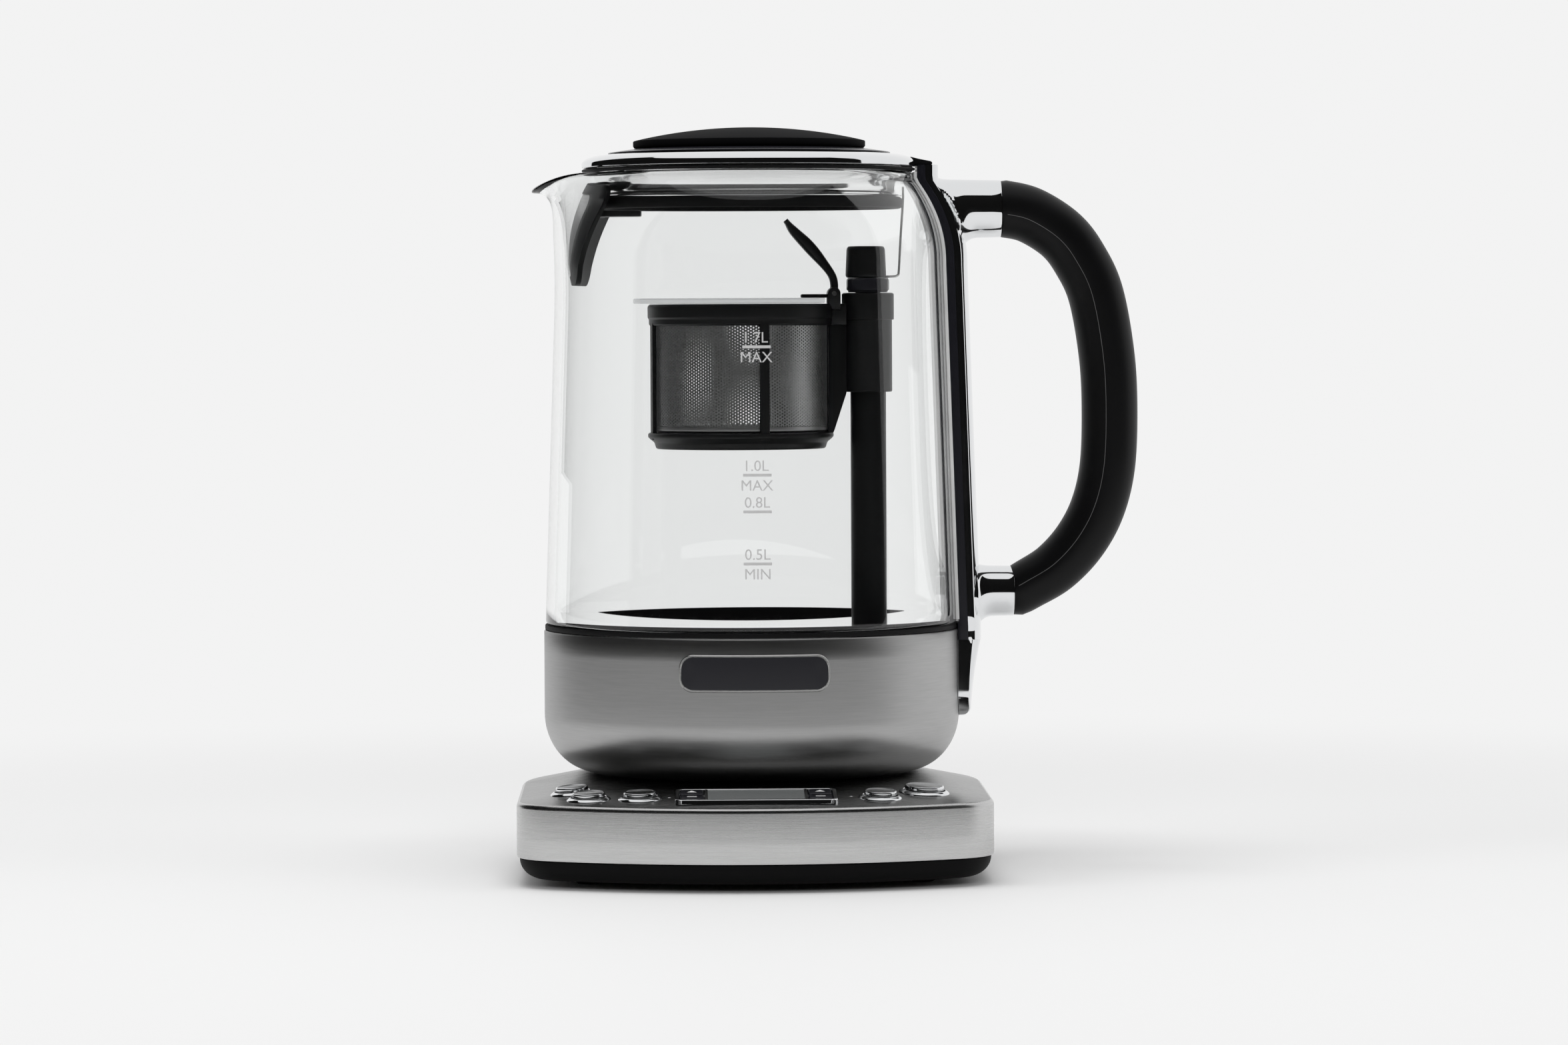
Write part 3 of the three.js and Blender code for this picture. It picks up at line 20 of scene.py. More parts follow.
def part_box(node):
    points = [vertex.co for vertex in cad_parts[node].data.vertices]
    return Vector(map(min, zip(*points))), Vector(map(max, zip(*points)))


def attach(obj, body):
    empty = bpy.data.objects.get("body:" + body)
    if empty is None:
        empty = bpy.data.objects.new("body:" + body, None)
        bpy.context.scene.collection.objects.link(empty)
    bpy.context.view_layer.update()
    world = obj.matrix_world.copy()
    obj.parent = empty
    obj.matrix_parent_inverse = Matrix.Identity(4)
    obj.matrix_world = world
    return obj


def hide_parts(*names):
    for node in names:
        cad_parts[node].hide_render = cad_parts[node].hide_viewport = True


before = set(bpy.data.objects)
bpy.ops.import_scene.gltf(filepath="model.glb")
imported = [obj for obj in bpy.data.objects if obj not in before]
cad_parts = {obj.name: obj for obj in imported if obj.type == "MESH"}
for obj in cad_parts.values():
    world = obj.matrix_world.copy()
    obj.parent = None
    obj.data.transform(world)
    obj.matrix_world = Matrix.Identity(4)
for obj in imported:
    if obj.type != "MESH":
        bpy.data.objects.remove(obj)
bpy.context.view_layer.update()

log = logging.getLogger("tea_maker")

MM = 0.001
TURN = 2 * math.pi
Y_AXIS = (0, 1, 0)
CURVE_STEPS = 24
SHARP = 34.0
SAME_POINT = 0.000002
LETTER_SHARE = 0.69
PLATE_EDGE = 0.45
FINE_SIDES, JUG_SIDES, BASKET_SIDES, SMALL_SIDES = 192, 160, 144, 72
LAID = Matrix.Rotation(math.pi / 2, 4, "X")

Color = tuple[float, float, float]
Outline = Sequence[tuple[float, float]]
Points = list[tuple[float, float]]


class Body(str, Enum):
    """The moving bodies that pieces ride on."""

    BASE = "base"
    SOCKET = "jug_socket"
    JUG = "jug"
    LID = "jug_lid"
    CARRIAGE = "carriage"
    INFUSER_LID = "infuser_lid"


# Forms


@dataclass(frozen=True)
class Form:
    """A surface in millimetres: points and the faces between them."""

    points: np.ndarray
    faces: tuple[tuple[int, ...], ...]

    def __add__(self, other: "Form") -> "Form":
        """Puts two surfaces in one."""
        start = len(self.points)
        moved = tuple(tuple(index + start for index in face) for face in other.faces)
        return Form(np.vstack([self.points, other.points]), self.faces + moved)

    def moved(self, x: float = 0.0, y: float = 0.0, z: float = 0.0) -> "Form":
        """The surface carried along by a step."""
        return Form(self.points + np.array([x, y, z]), self.faces)

    def placed(self, matrix: Matrix) -> "Form":
        """The surface carried by a 4 by 4 matrix."""
        turn = np.array(matrix)
        return Form(self.points @ turn[:3, :3].T + turn[:3, 3], self.faces)

    def bent(self, law: Callable[[np.ndarray], np.ndarray]) -> "Form":
        """The surface with its points sent through a law."""
        return Form(law(self.points), self.faces)


def total(forms: Sequence[Form]) -> Form:
    """Puts several surfaces in one.

    Args:
        forms: At least one surface.

    Returns:
        The surface that holds them all.
    """
    whole = forms[0]
    for form in forms[1:]:
        whole = whole + form
    return whole


def softened(outline: Outline, radius: float, loop: bool = True, steps: int = 4) -> Points:
    """Rounds the corners of an outline.

    Args:
        outline: Points of a flat outline or a profile.
        radius: How far from a corner its round starts, at most.
        loop: Whether the last point joins the first.
        steps: Points of each round.

    Returns:
        The points of the rounded outline.
    """
    corners = [np.array(point, dtype=float) for point in outline]
    count = len(corners)
    points: Points = []
    for index, corner in enumerate(corners):
        if not loop and index in (0, count - 1):
            points.append(tuple(corner))
            continue
        back = corners[index - 1] - corner
        ahead = corners[(index + 1) % count] - corner
        reach = min(radius, np.linalg.norm(back) * 0.48, np.linalg.norm(ahead) * 0.48)
        first = corner + back / np.linalg.norm(back) * reach
        last = corner + ahead / np.linalg.norm(ahead) * reach
        for step in range(steps + 1):
            share = step / steps
            point = (1 - share) ** 2 * first + 2 * share * (1 - share) * corner + share**2 * last
            points.append(tuple(point))
    return points


def circle(count: int) -> np.ndarray:
    """Even points on a unit circle."""
    angles = np.linspace(0, TURN, count, endpoint=False)
    return np.column_stack([np.cos(angles), np.sin(angles)])


def arc(centre: tuple[float, float], radius: float, start: float, end: float,
        steps: int) -> Points:
    """Points on a flat arc.

    Args:
        centre: The arc's centre.
        radius: Its radius.
        start: Its first angle, in radians.
        end: Its last angle.
        steps: Its chords.

    Returns:
        The points, from start to end.
    """
    angles = np.linspace(start, end, steps + 1)
    return [(centre[0] + radius * math.cos(a), centre[1] + radius * math.sin(a)) for a in angles]


def grid_faces(rows: int, count: int, wrap_rows: bool, wrap_count: bool) -> list[tuple[int, ...]]:
    """Faces between rows of points.

    Args:
        rows: How many rows.
        count: Points in a row.
        wrap_rows: Whether the last row joins the first.
        wrap_count: Whether the last point of a row joins its first.

    Returns:
        Four-sided faces.
    """
    faces = []
    for row in range(rows if wrap_rows else rows - 1):
        for index in range(count if wrap_count else count - 1):
            after, above = (index + 1) % count, (row + 1) % rows
            low, high = row * count, above * count
            faces.append((low + index, low + after, high + after, high + index))
    return faces


def revolve(profile: Outline, sides: int = 128, loop: bool = True) -> Form:
    """Turns a profile about the Z axis.

    Args:
        profile: Radius and height of each point.
        sides: Facets round the axis.
        loop: Whether the profile closes on itself; it doesn't where both ends lie on the axis.

    Returns:
        The turned surface.
    """
    radius, height = np.array(profile, dtype=float).T
    angles = np.arange(sides) * TURN / sides
    points = np.stack([
        np.outer(np.cos(angles), radius),
        np.outer(np.sin(angles), radius),
        np.tile(height, (sides, 1)),
    ], axis=-1).reshape(-1, 3)
    return Form(points, tuple(grid_faces(sides, len(profile), True, loop)))


def turned(profile: Outline, soft: float, sides: int = 96, loop: bool = True,
           steps: int = 4) -> Form:
    """Turns a profile whose corners are rounded; see softened and revolve for the arguments."""
    return revolve(softened(profile, soft, loop, steps), sides, loop)


def at_height(flat: np.ndarray, height: float) -> np.ndarray:
    """Flat points raised to a height."""
    return np.column_stack([flat, np.full(len(flat), height)])


def loft(rings: Sequence[np.ndarray], closed: bool = False, caps: bool = True) -> Form:
    """Joins equal rings of points by faces.

    Args:
        rings: Arrays of points, each ring closed on itself.
        closed: Whether the last ring joins the first.
        caps: Whether the end rings are filled.

    Returns:
        The lofted surface.
    """
    count = len(rings[0])
    faces = grid_faces(len(rings), count, closed, True)
    if caps and not closed:
        faces.append(tuple(range(count)))
        faces.append(tuple(range((len(rings) - 1) * count, len(rings) * count)))
    return Form(np.vstack(rings), tuple(faces))


def slab(outline: Outline, low: float, high: float) -> Form:
    """Raises a flat outline from low to high.

    Args:
        outline: Points in the plan.
        low: Height of its underside.
        high: Height of its top.

    Returns:
        A closed plate.
    """
    flat = np.array(outline, dtype=float)
    return loft([at_height(flat, low), at_height(flat, high)])


def round_rect(width: float, depth: float, corner: float, steps: int = 8) -> Points:
    """Outline of a rectangle with round corners, about the origin.

    Args:
        width: Size along the first axis.
        depth: Size along the second.
        corner: Radius of its corners.
        steps: Chords in each corner.

    Returns:
        Its points, anticlockwise.
    """
    x, y = width / 2 - corner, depth / 2 - corner
    quarter = math.pi / 2
    points = []
    for index, (cx, cy) in enumerate([(x, y), (-x, y), (-x, -y), (x, -y)]):
        points += arc((cx, cy), corner, index * quarter, (index + 1) * quarter, steps)
    return points


def frame_of(outer: Outline, inner: Outline, low: float, high: float, crown: float = 0.0) -> Form:
    """A flat ring between two outlines of equal count.

    Args:
        outer: The outer outline.
        inner: The inner one.
        low: Height of its underside.
        high: Height of its top.
        crown: How much the top's edges are drawn down and in, to catch the light.

    Returns:
        A closed ring.
    """
    out, inn = np.array(outer, dtype=float), np.array(inner, dtype=float)
    middle = (out + inn) / 2
    reach = np.linalg.norm(out - inn, axis=1, keepdims=True)
    share = np.minimum(crown / np.maximum(reach, 1e-6), 0.45)
    steps = ((0, low), (0, high - crown), (share, high - crown * 0.3), (2 * share, high))
    rings = [at_height(out + (middle - out) * inward, height) for inward, height in steps]
    rings += [at_height(inn + (middle - inn) * inward, height) for inward, height in steps[::-1]]
    return loft(rings, closed=True)


def swept(route: np.ndarray, section: np.ndarray, thick: np.ndarray, wide: np.ndarray) -> Form:
    """Sweeps a section along a route in an upright plane along X.

    Args:
        route: Points of the centreline.
        section: Flat unit points, their first value in the route's plane and their second along Y.
        thick: Scale of the first value at each point of the route.
        wide: Scale of the second.

    Returns:
        A tube with filled ends.
    """
    rings = []
    for point, ahead, deep, broad in zip(route, directions(route), thick, wide):
        across = np.outer(section[:, 0] * deep, np.cross(Y_AXIS, ahead))
        rings.append(point + across + np.outer(section[:, 1] * broad, Y_AXIS))
    return loft(rings)


def directions(route: np.ndarray) -> np.ndarray:
    """The unit direction of a route at each of its points."""
    ahead = np.gradient(route, axis=0)
    return ahead / np.linalg.norm(ahead, axis=1, keepdims=True)


def smooth_curve(points: Sequence[tuple[float, float, float]], steps: int) -> np.ndarray:
    """An even run of points on a smooth curve through the given ones.

    Args:
        points: Points that the curve passes through.
        steps: How many stretches to return.

    Returns:
        An array of steps + 1 points, evenly spaced along the curve.
    """
    knots = np.array(points, dtype=float)
    ends = np.vstack([2 * knots[0] - knots[1], knots, 2 * knots[-1] - knots[-2]])
    fine = []
    for index in range(1, len(ends) - 2):
        before, start, end, after = ends[index - 1:index + 3]
        for share in np.linspace(0, 1, CURVE_STEPS, endpoint=False):
            fine.append(0.5 * (2 * start + (end - before) * share
                               + (2 * before - 5 * start + 4 * end - after) * share**2
                               + (3 * start - before - 3 * end + after) * share**3))
    fine.append(ends[-2])
    line = np.array(fine)
    reach = np.concatenate([[0], np.cumsum(np.linalg.norm(np.diff(line, axis=0), axis=1))])
    even = np.linspace(0, reach[-1], steps + 1)
    return np.column_stack([np.interp(even, reach, line[:, axis]) for axis in range(line.shape[1])])


def eased(share: float | np.ndarray) -> float | np.ndarray:
    """A share from 0 to 1 that starts and ends gently."""
    held = np.clip(share, 0, 1)
    return held * held * (3 - 2 * held)


def plate(outline: Outline, low: float, high: float) -> Form:
    """A plate with soft edges; see slab for the arguments."""
    flat = np.array(outline, dtype=float)
    heart = flat.mean(axis=0)
    size = np.abs(flat - heart).max()
    steps = ((PLATE_EDGE, 0), (PLATE_EDGE * 0.29, PLATE_EDGE * 0.29), (0, PLATE_EDGE))
    levels = [(inset, low + rise) for inset, rise in steps] + [(inset, high - rise)
                                                               for inset, rise in steps[::-1]]
    return loft([at_height(heart + (flat - heart) * (1 - inset / size), height)
                 for inset, height in levels])


def divided(outline: Outline, parts: Callable[[float], int]) -> Points:
    """An outline with its sides cut in equal parts.

    Args:
        outline: The outline.
        parts: How many parts a side of a given length is cut in.

    Returns:
        Its points.
    """
    points = np.array(outline, dtype=float)
    fine = []
    for start, end in zip(points, np.roll(points, -1, axis=0)):
        count = parts(np.linalg.norm(end - start))
        fine += [tuple(start + (end - start) * index / count) for index in range(count)]
    return fine


def dense(outline: Outline, step: float) -> Points:
    """An outline with its long sides cut into steps."""
    return divided(outline, lambda length: max(int(length / step), 1))


def pillow(outline: Outline, core: float, levels: Outline) -> Form:
    """Rings drawn in from an outline to a line through its middle.

    Args:
        outline: Points in the plan.
        core: Half the length of the line, along X.
        levels: Share of the way out from the line, and height, of each ring; the ends have share 0.

    Returns:
        A closed plate that can be bent.
    """
    flat = np.array(outline, dtype=float)
    heart = np.column_stack([np.clip(flat[:, 0], -core, core), np.zeros(len(flat))])
    return loft([at_height(heart + (flat - heart) * share, height) for share, height in levels],
                caps=False)


def wrapped(flat: Form, radius: Callable[[np.ndarray], np.ndarray], azimuth: float,
            height: float) -> Form:
    """Lays a form from the XY plane on an upright round surface.

    Args:
        flat: The form; its Z is how far it stands out.
        radius: The surface's radius at a height.
        azimuth: Where the form's middle lies, in radians from +X.
        height: The height of its middle.

    Returns:
        The form on the surface.
    """
    def law(points: np.ndarray) -> np.ndarray:
        z = points[:, 1] + height
        reach = radius(z)
        angle = azimuth + points[:, 0] / reach
        out = reach + points[:, 2]
        return np.column_stack([out * np.cos(angle), out * np.sin(angle), z])

    return flat.bent(law)


# Shader nodes


class Wire:
    """A shader socket that adds Math nodes when it is used in an expression."""

    def __init__(self, graph: "Graph", socket: bpy.types.NodeSocket) -> None:
        """Wraps an output socket of a graph."""
        self.graph = graph
        self.socket = socket

    def _math(self, operation: str, *values: "Wire | float") -> "Wire":
        """A Math node on this value and others."""
        return self.graph.node("ShaderNodeMath", {"operation": operation},
                               dict(enumerate(values)))[0]

    def __add__(self, other: "Wire | float") -> "Wire":
        """self + other."""
        return self._math("ADD", self, other)

    def __sub__(self, other: "Wire | float") -> "Wire":
        """self - other."""
        return self._math("SUBTRACT", self, other)

    def __rsub__(self, other: float) -> "Wire":
        """other - self."""
        return self._math("SUBTRACT", other, self)

    def __mul__(self, other: "Wire | float") -> "Wire":
        """self * other."""
        return self._math("MULTIPLY", self, other)

    def __gt__(self, other: "Wire | float") -> "Wire":
        """1 where self is greater, else 0."""
        return self._math("GREATER_THAN", self, other)

    def absolute(self) -> "Wire":
        """The value without its sign."""
        return self._math("ABSOLUTE", self)

    def either(self, other: "Wire") -> "Wire":
        """The greater of two values."""
        return self._math("MAXIMUM", self, other)

    def eased(self, low: float, high: float) -> "Wire":
        """0 below low, 1 above high, smooth between."""
        return self.graph.node("ShaderNodeMapRange", {"interpolation_type": "SMOOTHSTEP"},
                               {"Value": self, "From Min": low, "From Max": high})[0]


CAMERA_RAY, SHADOW_RAY, DIFFUSE_RAY, GLOSSY_RAY, TRANSMISSION_RAY, GLOSSY_DEPTH = 0, 1, 2, 3, 6, 11


class Graph:
    """A node tree and the one method that adds to it."""

    def __init__(self, tree: bpy.types.NodeTree) -> None:
        """Keeps the tree."""
        self.tree = tree

    def node(self, kind: str, settings: dict | None = None,
             values: dict | None = None) -> "list[Wire]":
        """Adds a node.

        Args:
            kind: The node's type.
            settings: Its own settings, set first.
            values: Links or values for its inputs, by name or number.

        Returns:
            Its outputs, in order.
        """
        node = self.tree.nodes.new(kind)
        for name, value in (settings or {}).items():
            setattr(node, name, value)
        for name, value in (values or {}).items():
            if isinstance(value, Wire):
                self.tree.links.new(value.socket, node.inputs[name])
            else:
                node.inputs[name].default_value = value
        return [Wire(self, socket) for socket in node.outputs]

    def one(self, kind: str, **values: "Wire | float | Sequence[float]") -> Wire:
        """A node's first output; its inputs' names have _ for a space, or a number after an _."""
        named = {}
        for name, value in values.items():
            named[int(name[1:]) if name[0] == "_" else name.replace("_", " ")] = value
        return self.node(kind, None, named)[0]


class Sheet(Graph):
    """The node tree of a material or a world."""

    def __init__(self, owner: bpy.types.Material | bpy.types.World) -> None:
        """Empties the owner's tree and keeps it."""
        owner.use_nodes = True
        super().__init__(owner.node_tree)
        self.tree.nodes.clear()

    def place(self, scale: Sequence[float] = (1.0, 1.0, 1.0),
              shift: Sequence[float] = (0.0, 0.0, 0.0)) -> Wire:
        """Object coordinates, moved and then scaled.

        Args:
            scale: Factor along each axis.
            shift: Step in metres, before scaling.

        Returns:
            The vector.
        """
        spot = self.node("ShaderNodeTexCoord")[3]
        steps = [step * factor for step, factor in zip(shift, scale)]
        return self.one("ShaderNodeMapping", Vector=spot, Scale=scale, Location=steps)

    def noise(self, scale: float | Sequence[float], detail: float = 2.0) -> Wire:
        """Smooth noise from 0 to 1, with one scale or one for each axis."""
        where = self.place((scale,) * 3 if isinstance(scale, float) else scale)
        return self.one("ShaderNodeTexNoise", Vector=where, Scale=1.0, Detail=detail)

    def radius(self, where: Wire) -> Wire:
        """The length of a vector."""
        return self.node("ShaderNodeVectorMath", {"operation": "LENGTH"}, {0: where})[1]

    def upward(self) -> Wire:
        """How much the surface faces up, from -1 to 1."""
        normal = self.node("ShaderNodeNewGeometry")[1]
        return self.node("ShaderNodeSeparateXYZ", None, {"Vector": normal})[2]

    def bump(self, height: Wire, distance: float, strength: float = 1.0) -> Wire:
        """A normal from a height in metres."""
        return self.one("ShaderNodeBump", Height=height, Distance=distance, Strength=strength)

    def mixed(self, factor: Wire, low: Wire | Color, high: Color) -> Wire:
        """A colour between two."""
        first = low if isinstance(low, Wire) else (*low, 1.0)
        return self.node("ShaderNodeMix", {"data_type": "RGBA"},
                         {0: factor, 6: first, 7: (*high, 1.0)})[2]

    def blended(self, factor: Wire, first: Wire, second: Wire) -> Wire:
        """A shader between two."""
        return self.one("ShaderNodeMixShader", _0=factor, _1=first, _2=second)

    def surface(self, **values: "Wire | float | Sequence[float]") -> Wire:
        """A Principled BSDF with the given sockets; a plain colour is opaque."""
        full = {name: (*value, 1.0) if isinstance(value, tuple) else value
                for name, value in values.items()}
        return self.one("ShaderNodeBsdfPrincipled", **full)

    def output(self, shader: Wire, kind: str = "ShaderNodeOutputMaterial") -> None:
        """Links a shader to the tree's output."""
        self.node(kind, None, {"Surface": shader})


# Finishes


SPIN_CENTRE = (0.028594, -0.012, 0.0)


def shaded(color: Color, factor: float) -> Color:
    """A colour made darker or lighter, up to full."""
    return tuple(min(part * factor, 1.0) for part in color)


class Grain(Enum):
    """Which way a brushed surface's lines run."""

    LEVEL = "level"
    BASE_TOP = "base_top"
    TURNED = "turned"


@dataclass(frozen=True)
class Finish:
    """What every finish has."""

    name: str
    slot: str

    def dress(self, sheet: Sheet) -> Wire:
        """Builds the shader; each finish has its own."""
        raise NotImplementedError(self.name)

    def material(self) -> bpy.types.Material:
        """The finish's one material, made when it is first asked for."""
        made = bpy.data.materials.get(self.name)
        if made is None:
            made = bpy.data.materials.new(self.name)
            sheet = Sheet(made)
            sheet.output(self.dress(sheet))
        return made


@dataclass(frozen=True)
class BrushedSteel(Finish):
    """Stainless steel with fine brushed lines, soft cloudiness and, if set, painted shade on top.
    """

    color: Color = (0.466, 0.466, 0.465)
    # Colour factor for upward faces, a painted shade for the dark reflection on top; 1 paints none.
    painted_top_shade: float = 1.0
    roughness: float = 0.33
    grain: Grain = Grain.LEVEL
    line_scale: float = 5200.0
    drift_scale: float = 26.0
    depth: float = 0.000012

    def dress(self, sheet: Sheet) -> Wire:
        """Lines as stretched noise in roughness, colour and bump."""
        fine, slow = self.line_scale, self.drift_scale
        level = sheet.noise((slow, slow, fine), 3.0)
        if self.grain is Grain.BASE_TOP:
            across = sheet.noise((slow, fine * 0.5, slow), 3.0)
            top = sheet.upward().absolute() > 0.6
            lines = across * top + level * (1 - top)
        elif self.grain is Grain.TURNED:
            reach = sheet.radius(sheet.place((1, 1, 0), SPIN_CENTRE))
            lines = sheet.node("ShaderNodeTexNoise", {"noise_dimensions": "1D"},
                               {"W": reach * fine, "Scale": 1.0, "Detail": 2.0})[0]
        else:
            lines = level
        cloud = sheet.noise((22.0, 22.0, 34.0))
        streaks = sheet.noise((slow * 3, slow * 3, 1900.0))
        shade = lines * 0.35 + streaks * 0.5 + cloud * 0.15
        tone = sheet.mixed(shade, shaded(self.color, 0.8), shaded(self.color, 1.2))
        # Painted shade: upward faces take a darker copy of the colour, standing in for the top's
        # dark reflection.
        if self.painted_top_shade < 1:
            tone = sheet.mixed(sheet.upward().eased(0.9, 0.98), tone,
                               shaded(self.color, self.painted_top_shade))
        return sheet.surface(
            Base_Color=tone,
            Metallic=1.0,
            Roughness=lines * 0.12 + cloud * 0.05 + (self.roughness - 0.085),
            Anisotropic=0.45,
            Normal=sheet.bump(lines, self.depth, 0.6),
        )


@dataclass(frozen=True)
class Chrome(Finish):
    """Bright plating over a casting or a pressing, with the faintest waviness."""

    color: Color = (0.8, 0.81, 0.82)
    roughness: float = 0.045

    def dress(self, sheet: Sheet) -> Wire:
        """Mirror metal whose roughness has light handling marks."""
        marks = sheet.noise(90.0, 4.0)
        wave = sheet.noise(38.0, 1.0)
        return sheet.surface(
            Base_Color=self.color,
            Metallic=1.0,
            Roughness=marks.eased(0.45, 0.8) * 0.05 + self.roughness,
            Normal=sheet.bump(wave, 0.00006, 0.25),
        )


@dataclass(frozen=True)
class Moulded(Finish):
    """Moulded plastic or rubber with a fine cast texture."""

    color: Color = (0.0042, 0.0042, 0.0046)
    roughness: float = 0.42
    specular: float = 0.3
    spread: float = 0.08
    grain_scale: float = 2600.0
    depth: float = 0.000005
    coat: float = 0.0

    def dress(self, sheet: Sheet) -> Wire:
        """Grain in the bump, slow change in colour and roughness."""
        grain = sheet.noise(self.grain_scale, 1.0)
        cloud = sheet.noise(60.0, 3.0)
        return sheet.surface(
            Base_Color=sheet.mixed(cloud, shaded(self.color, 0.8), shaded(self.color, 1.35)),
            Roughness=(cloud * self.spread + grain * self.spread * 0.3
                       + (self.roughness - self.spread * 0.65)),
            Specular_IOR_Level=self.specular,
            Coat_Weight=self.coat,
            Coat_Roughness=0.06,
            Normal=sheet.bump(grain, self.depth, 0.3),
        )


@dataclass(frozen=True)
class Clear(Finish):
    """Glass or clear plastic; shadow rays pass through its tint."""

    tint: Color = (0.985, 0.992, 0.99)
    roughness: float = 0.0
    ior: float = 1.47
    cast: float = 0.93

    def dress(self, sheet: Sheet) -> Wire:
        """Refracting body, and a see-through one for the light that it lets past."""
        smear = sheet.noise(24.0)
        body = sheet.surface(
            Base_Color=self.tint,
            Roughness=smear.eased(0.55, 0.9) * 0.02 + self.roughness,
            IOR=self.ior,
            Transmission_Weight=1.0,
        )
        passed = sheet.one("ShaderNodeBsdfTransparent", Color=(self.cast,) * 3 + (1.0,))
        rays = sheet.node("ShaderNodeLightPath")
        return sheet.blended(rays[SHADOW_RAY].either(rays[DIFFUSE_RAY]), body, passed)


@dataclass(frozen=True)
class Printed(Finish):
    """Printing ink, on glass or metal."""

    color: Color = (0.7, 0.7, 0.7)

    def dress(self, sheet: Sheet) -> Wire:
        """Flat ink with a slightly uneven lay."""
        lay = sheet.noise(700.0)
        tone = sheet.mixed(lay, shaded(self.color, 0.85), self.color)
        return sheet.surface(Base_Color=tone, Roughness=lay * 0.2 + 0.4)


@dataclass(frozen=True)
class DisplayGlass(Finish):
    """A grey reflective display behind a glossy window."""

    color: Color = (0.12, 0.125, 0.12)

    def dress(self, sheet: Sheet) -> Wire:
        """Dark grey with a faint cell pattern under a clear coat."""
        cells = sheet.noise((500.0, 1500.0, 500.0))
        tone = sheet.mixed(cells, shaded(self.color, 0.85), shaded(self.color, 1.2))
        return sheet.surface(Base_Color=tone, Roughness=cells * 0.06 + 0.2, Coat_Weight=1.0,
                             Coat_Roughness=0.03)


@dataclass(frozen=True)
class CircuitBoard(Finish):
    """Solder mask with the outlines of tracks under it."""

    color: Color = (0.02, 0.13, 0.06)

    def dress(self, sheet: Sheet) -> Wire:
        """Green with lighter tracks."""
        tracks = sheet.noise((420.0, 160.0, 160.0), 0.0)
        tone = sheet.mixed(tracks.eased(0.48, 0.52), self.color, shaded(self.color, 1.8))
        return sheet.surface(Base_Color=tone, Roughness=tracks * 0.1 + 0.3)


STEEL = BrushedSteel("brushed_steel_level", "brushed_steel", roughness=0.39)
# The base's top is painted darker, a painted shade for the dark reflection on it.
BASE_STEEL = BrushedSteel("brushed_steel_base", "brushed_steel", color=(0.58, 0.58, 0.578),
                          painted_top_shade=0.5, grain=Grain.BASE_TOP, roughness=0.27)
SPUN_STEEL = BrushedSteel("spun_steel", "brushed_steel", color=(0.6, 0.6, 0.59), roughness=0.22)
SHEET_STEEL = BrushedSteel("strainer_steel", "brushed_steel", color=(0.52, 0.52, 0.52),
                           roughness=0.36, line_scale=1800.0)
NET_STEEL = BrushedSteel("net_steel", "brushed_steel", color=(0.82, 0.82, 0.82), roughness=0.5,
                         line_scale=1800.0)
TURNED_STEEL = BrushedSteel("turned_steel", "brushed_steel", grain=Grain.TURNED, roughness=0.28)
CHROME = Chrome("bright_chrome", "chrome")
SKIRT_STEEL = Chrome("skirt_steel", "brushed_steel", color=(0.92, 0.92, 0.92), roughness=0.1)
BLACK = Moulded("satin_black", "black_plastic")
GRIP_BLACK = Moulded("grip_black", "black_plastic", color=(0.003, 0.003, 0.0033), roughness=0.42,
                      specular=0.18)
# Grey parting lines on the black grip: a painted highlight where the seam catches light.
SEAM_PAINTED_HIGHLIGHT = Moulded("seam_painted_highlight", "black_plastic", color=(0.09, 0.09, 0.09), roughness=0.4)
LID_BLACK = Moulded("lid_black", "black_plastic", roughness=0.8, specular=0.08, grain_scale=3200.0)
TRAY_BLACK = Moulded("tray_black", "black_plastic", color=(0.0025, 0.0025, 0.0027), roughness=0.6,
                     specular=0.1)
GLOSS_BLACK = Moulded("gloss_black", "gloss_black", roughness=0.2, specular=0.5, spread=0.04,
                      depth=0.000004, coat=0.4)
RUBBER = Moulded("soft_rubber", "black_rubber", color=(0.0045, 0.0045, 0.0048), roughness=0.6,
                 specular=0.14)
SILICONE = Moulded("pale_silicone", "black_rubber", color=(0.6, 0.6, 0.6), roughness=0.5)
GLASS = Clear("jug_glass", "clear_glass")
CLEAR_PLASTIC = Clear("clear_plastic", "clear_plastic", tint=(0.8, 0.81, 0.81), ior=1.49,
                      roughness=0.03)
DISPLAY = DisplayGlass("display_grey", "display_grey")
GREY_INK = Printed("grey_ink", "brushed_steel", color=(0.62, 0.62, 0.62))
WHITE_INK = Printed("white_ink", "brushed_steel", color=(0.85, 0.85, 0.85))
BOARD_GREEN = CircuitBoard("board_green", "circuit_board")
BRASS = BrushedSteel("turned_brass", "brass", color=(0.68, 0.5, 0.24), roughness=0.3,
                     grain=Grain.TURNED)


# Pieces


def corner(node: str) -> tuple[Vector, Vector]:
    """The box of a model node, in millimetres in the frame."""
    low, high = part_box(node)
    return low / MM, high / MM


def middle(node: str) -> Vector:
    """The middle of a model node's box, in millimetres in the frame."""
    low, high = corner(node)
    return (low + high) / 2


JUG_AXIS = middle("lid_knob").to_2d().to_3d()


def axis_offset(node: str) -> float:
    """How far along X a round node's axis is from the jug's axis, in millimetres."""
    return middle(node).x - JUG_AXIS.x


def linked(name: str, data: bpy.types.ID) -> bpy.types.Object:
    """A new object in the scene."""
    piece = bpy.data.objects.new(name, data)
    bpy.context.scene.collection.objects.link(piece)
    return piece


def evaluated(piece: bpy.types.Object) -> bpy.types.Mesh:
    """The mesh that an object's modifiers, or its lettering, come to."""
    graph = bpy.context.evaluated_depsgraph_get()
    return bpy.data.meshes.new_from_object(piece.evaluated_get(graph))


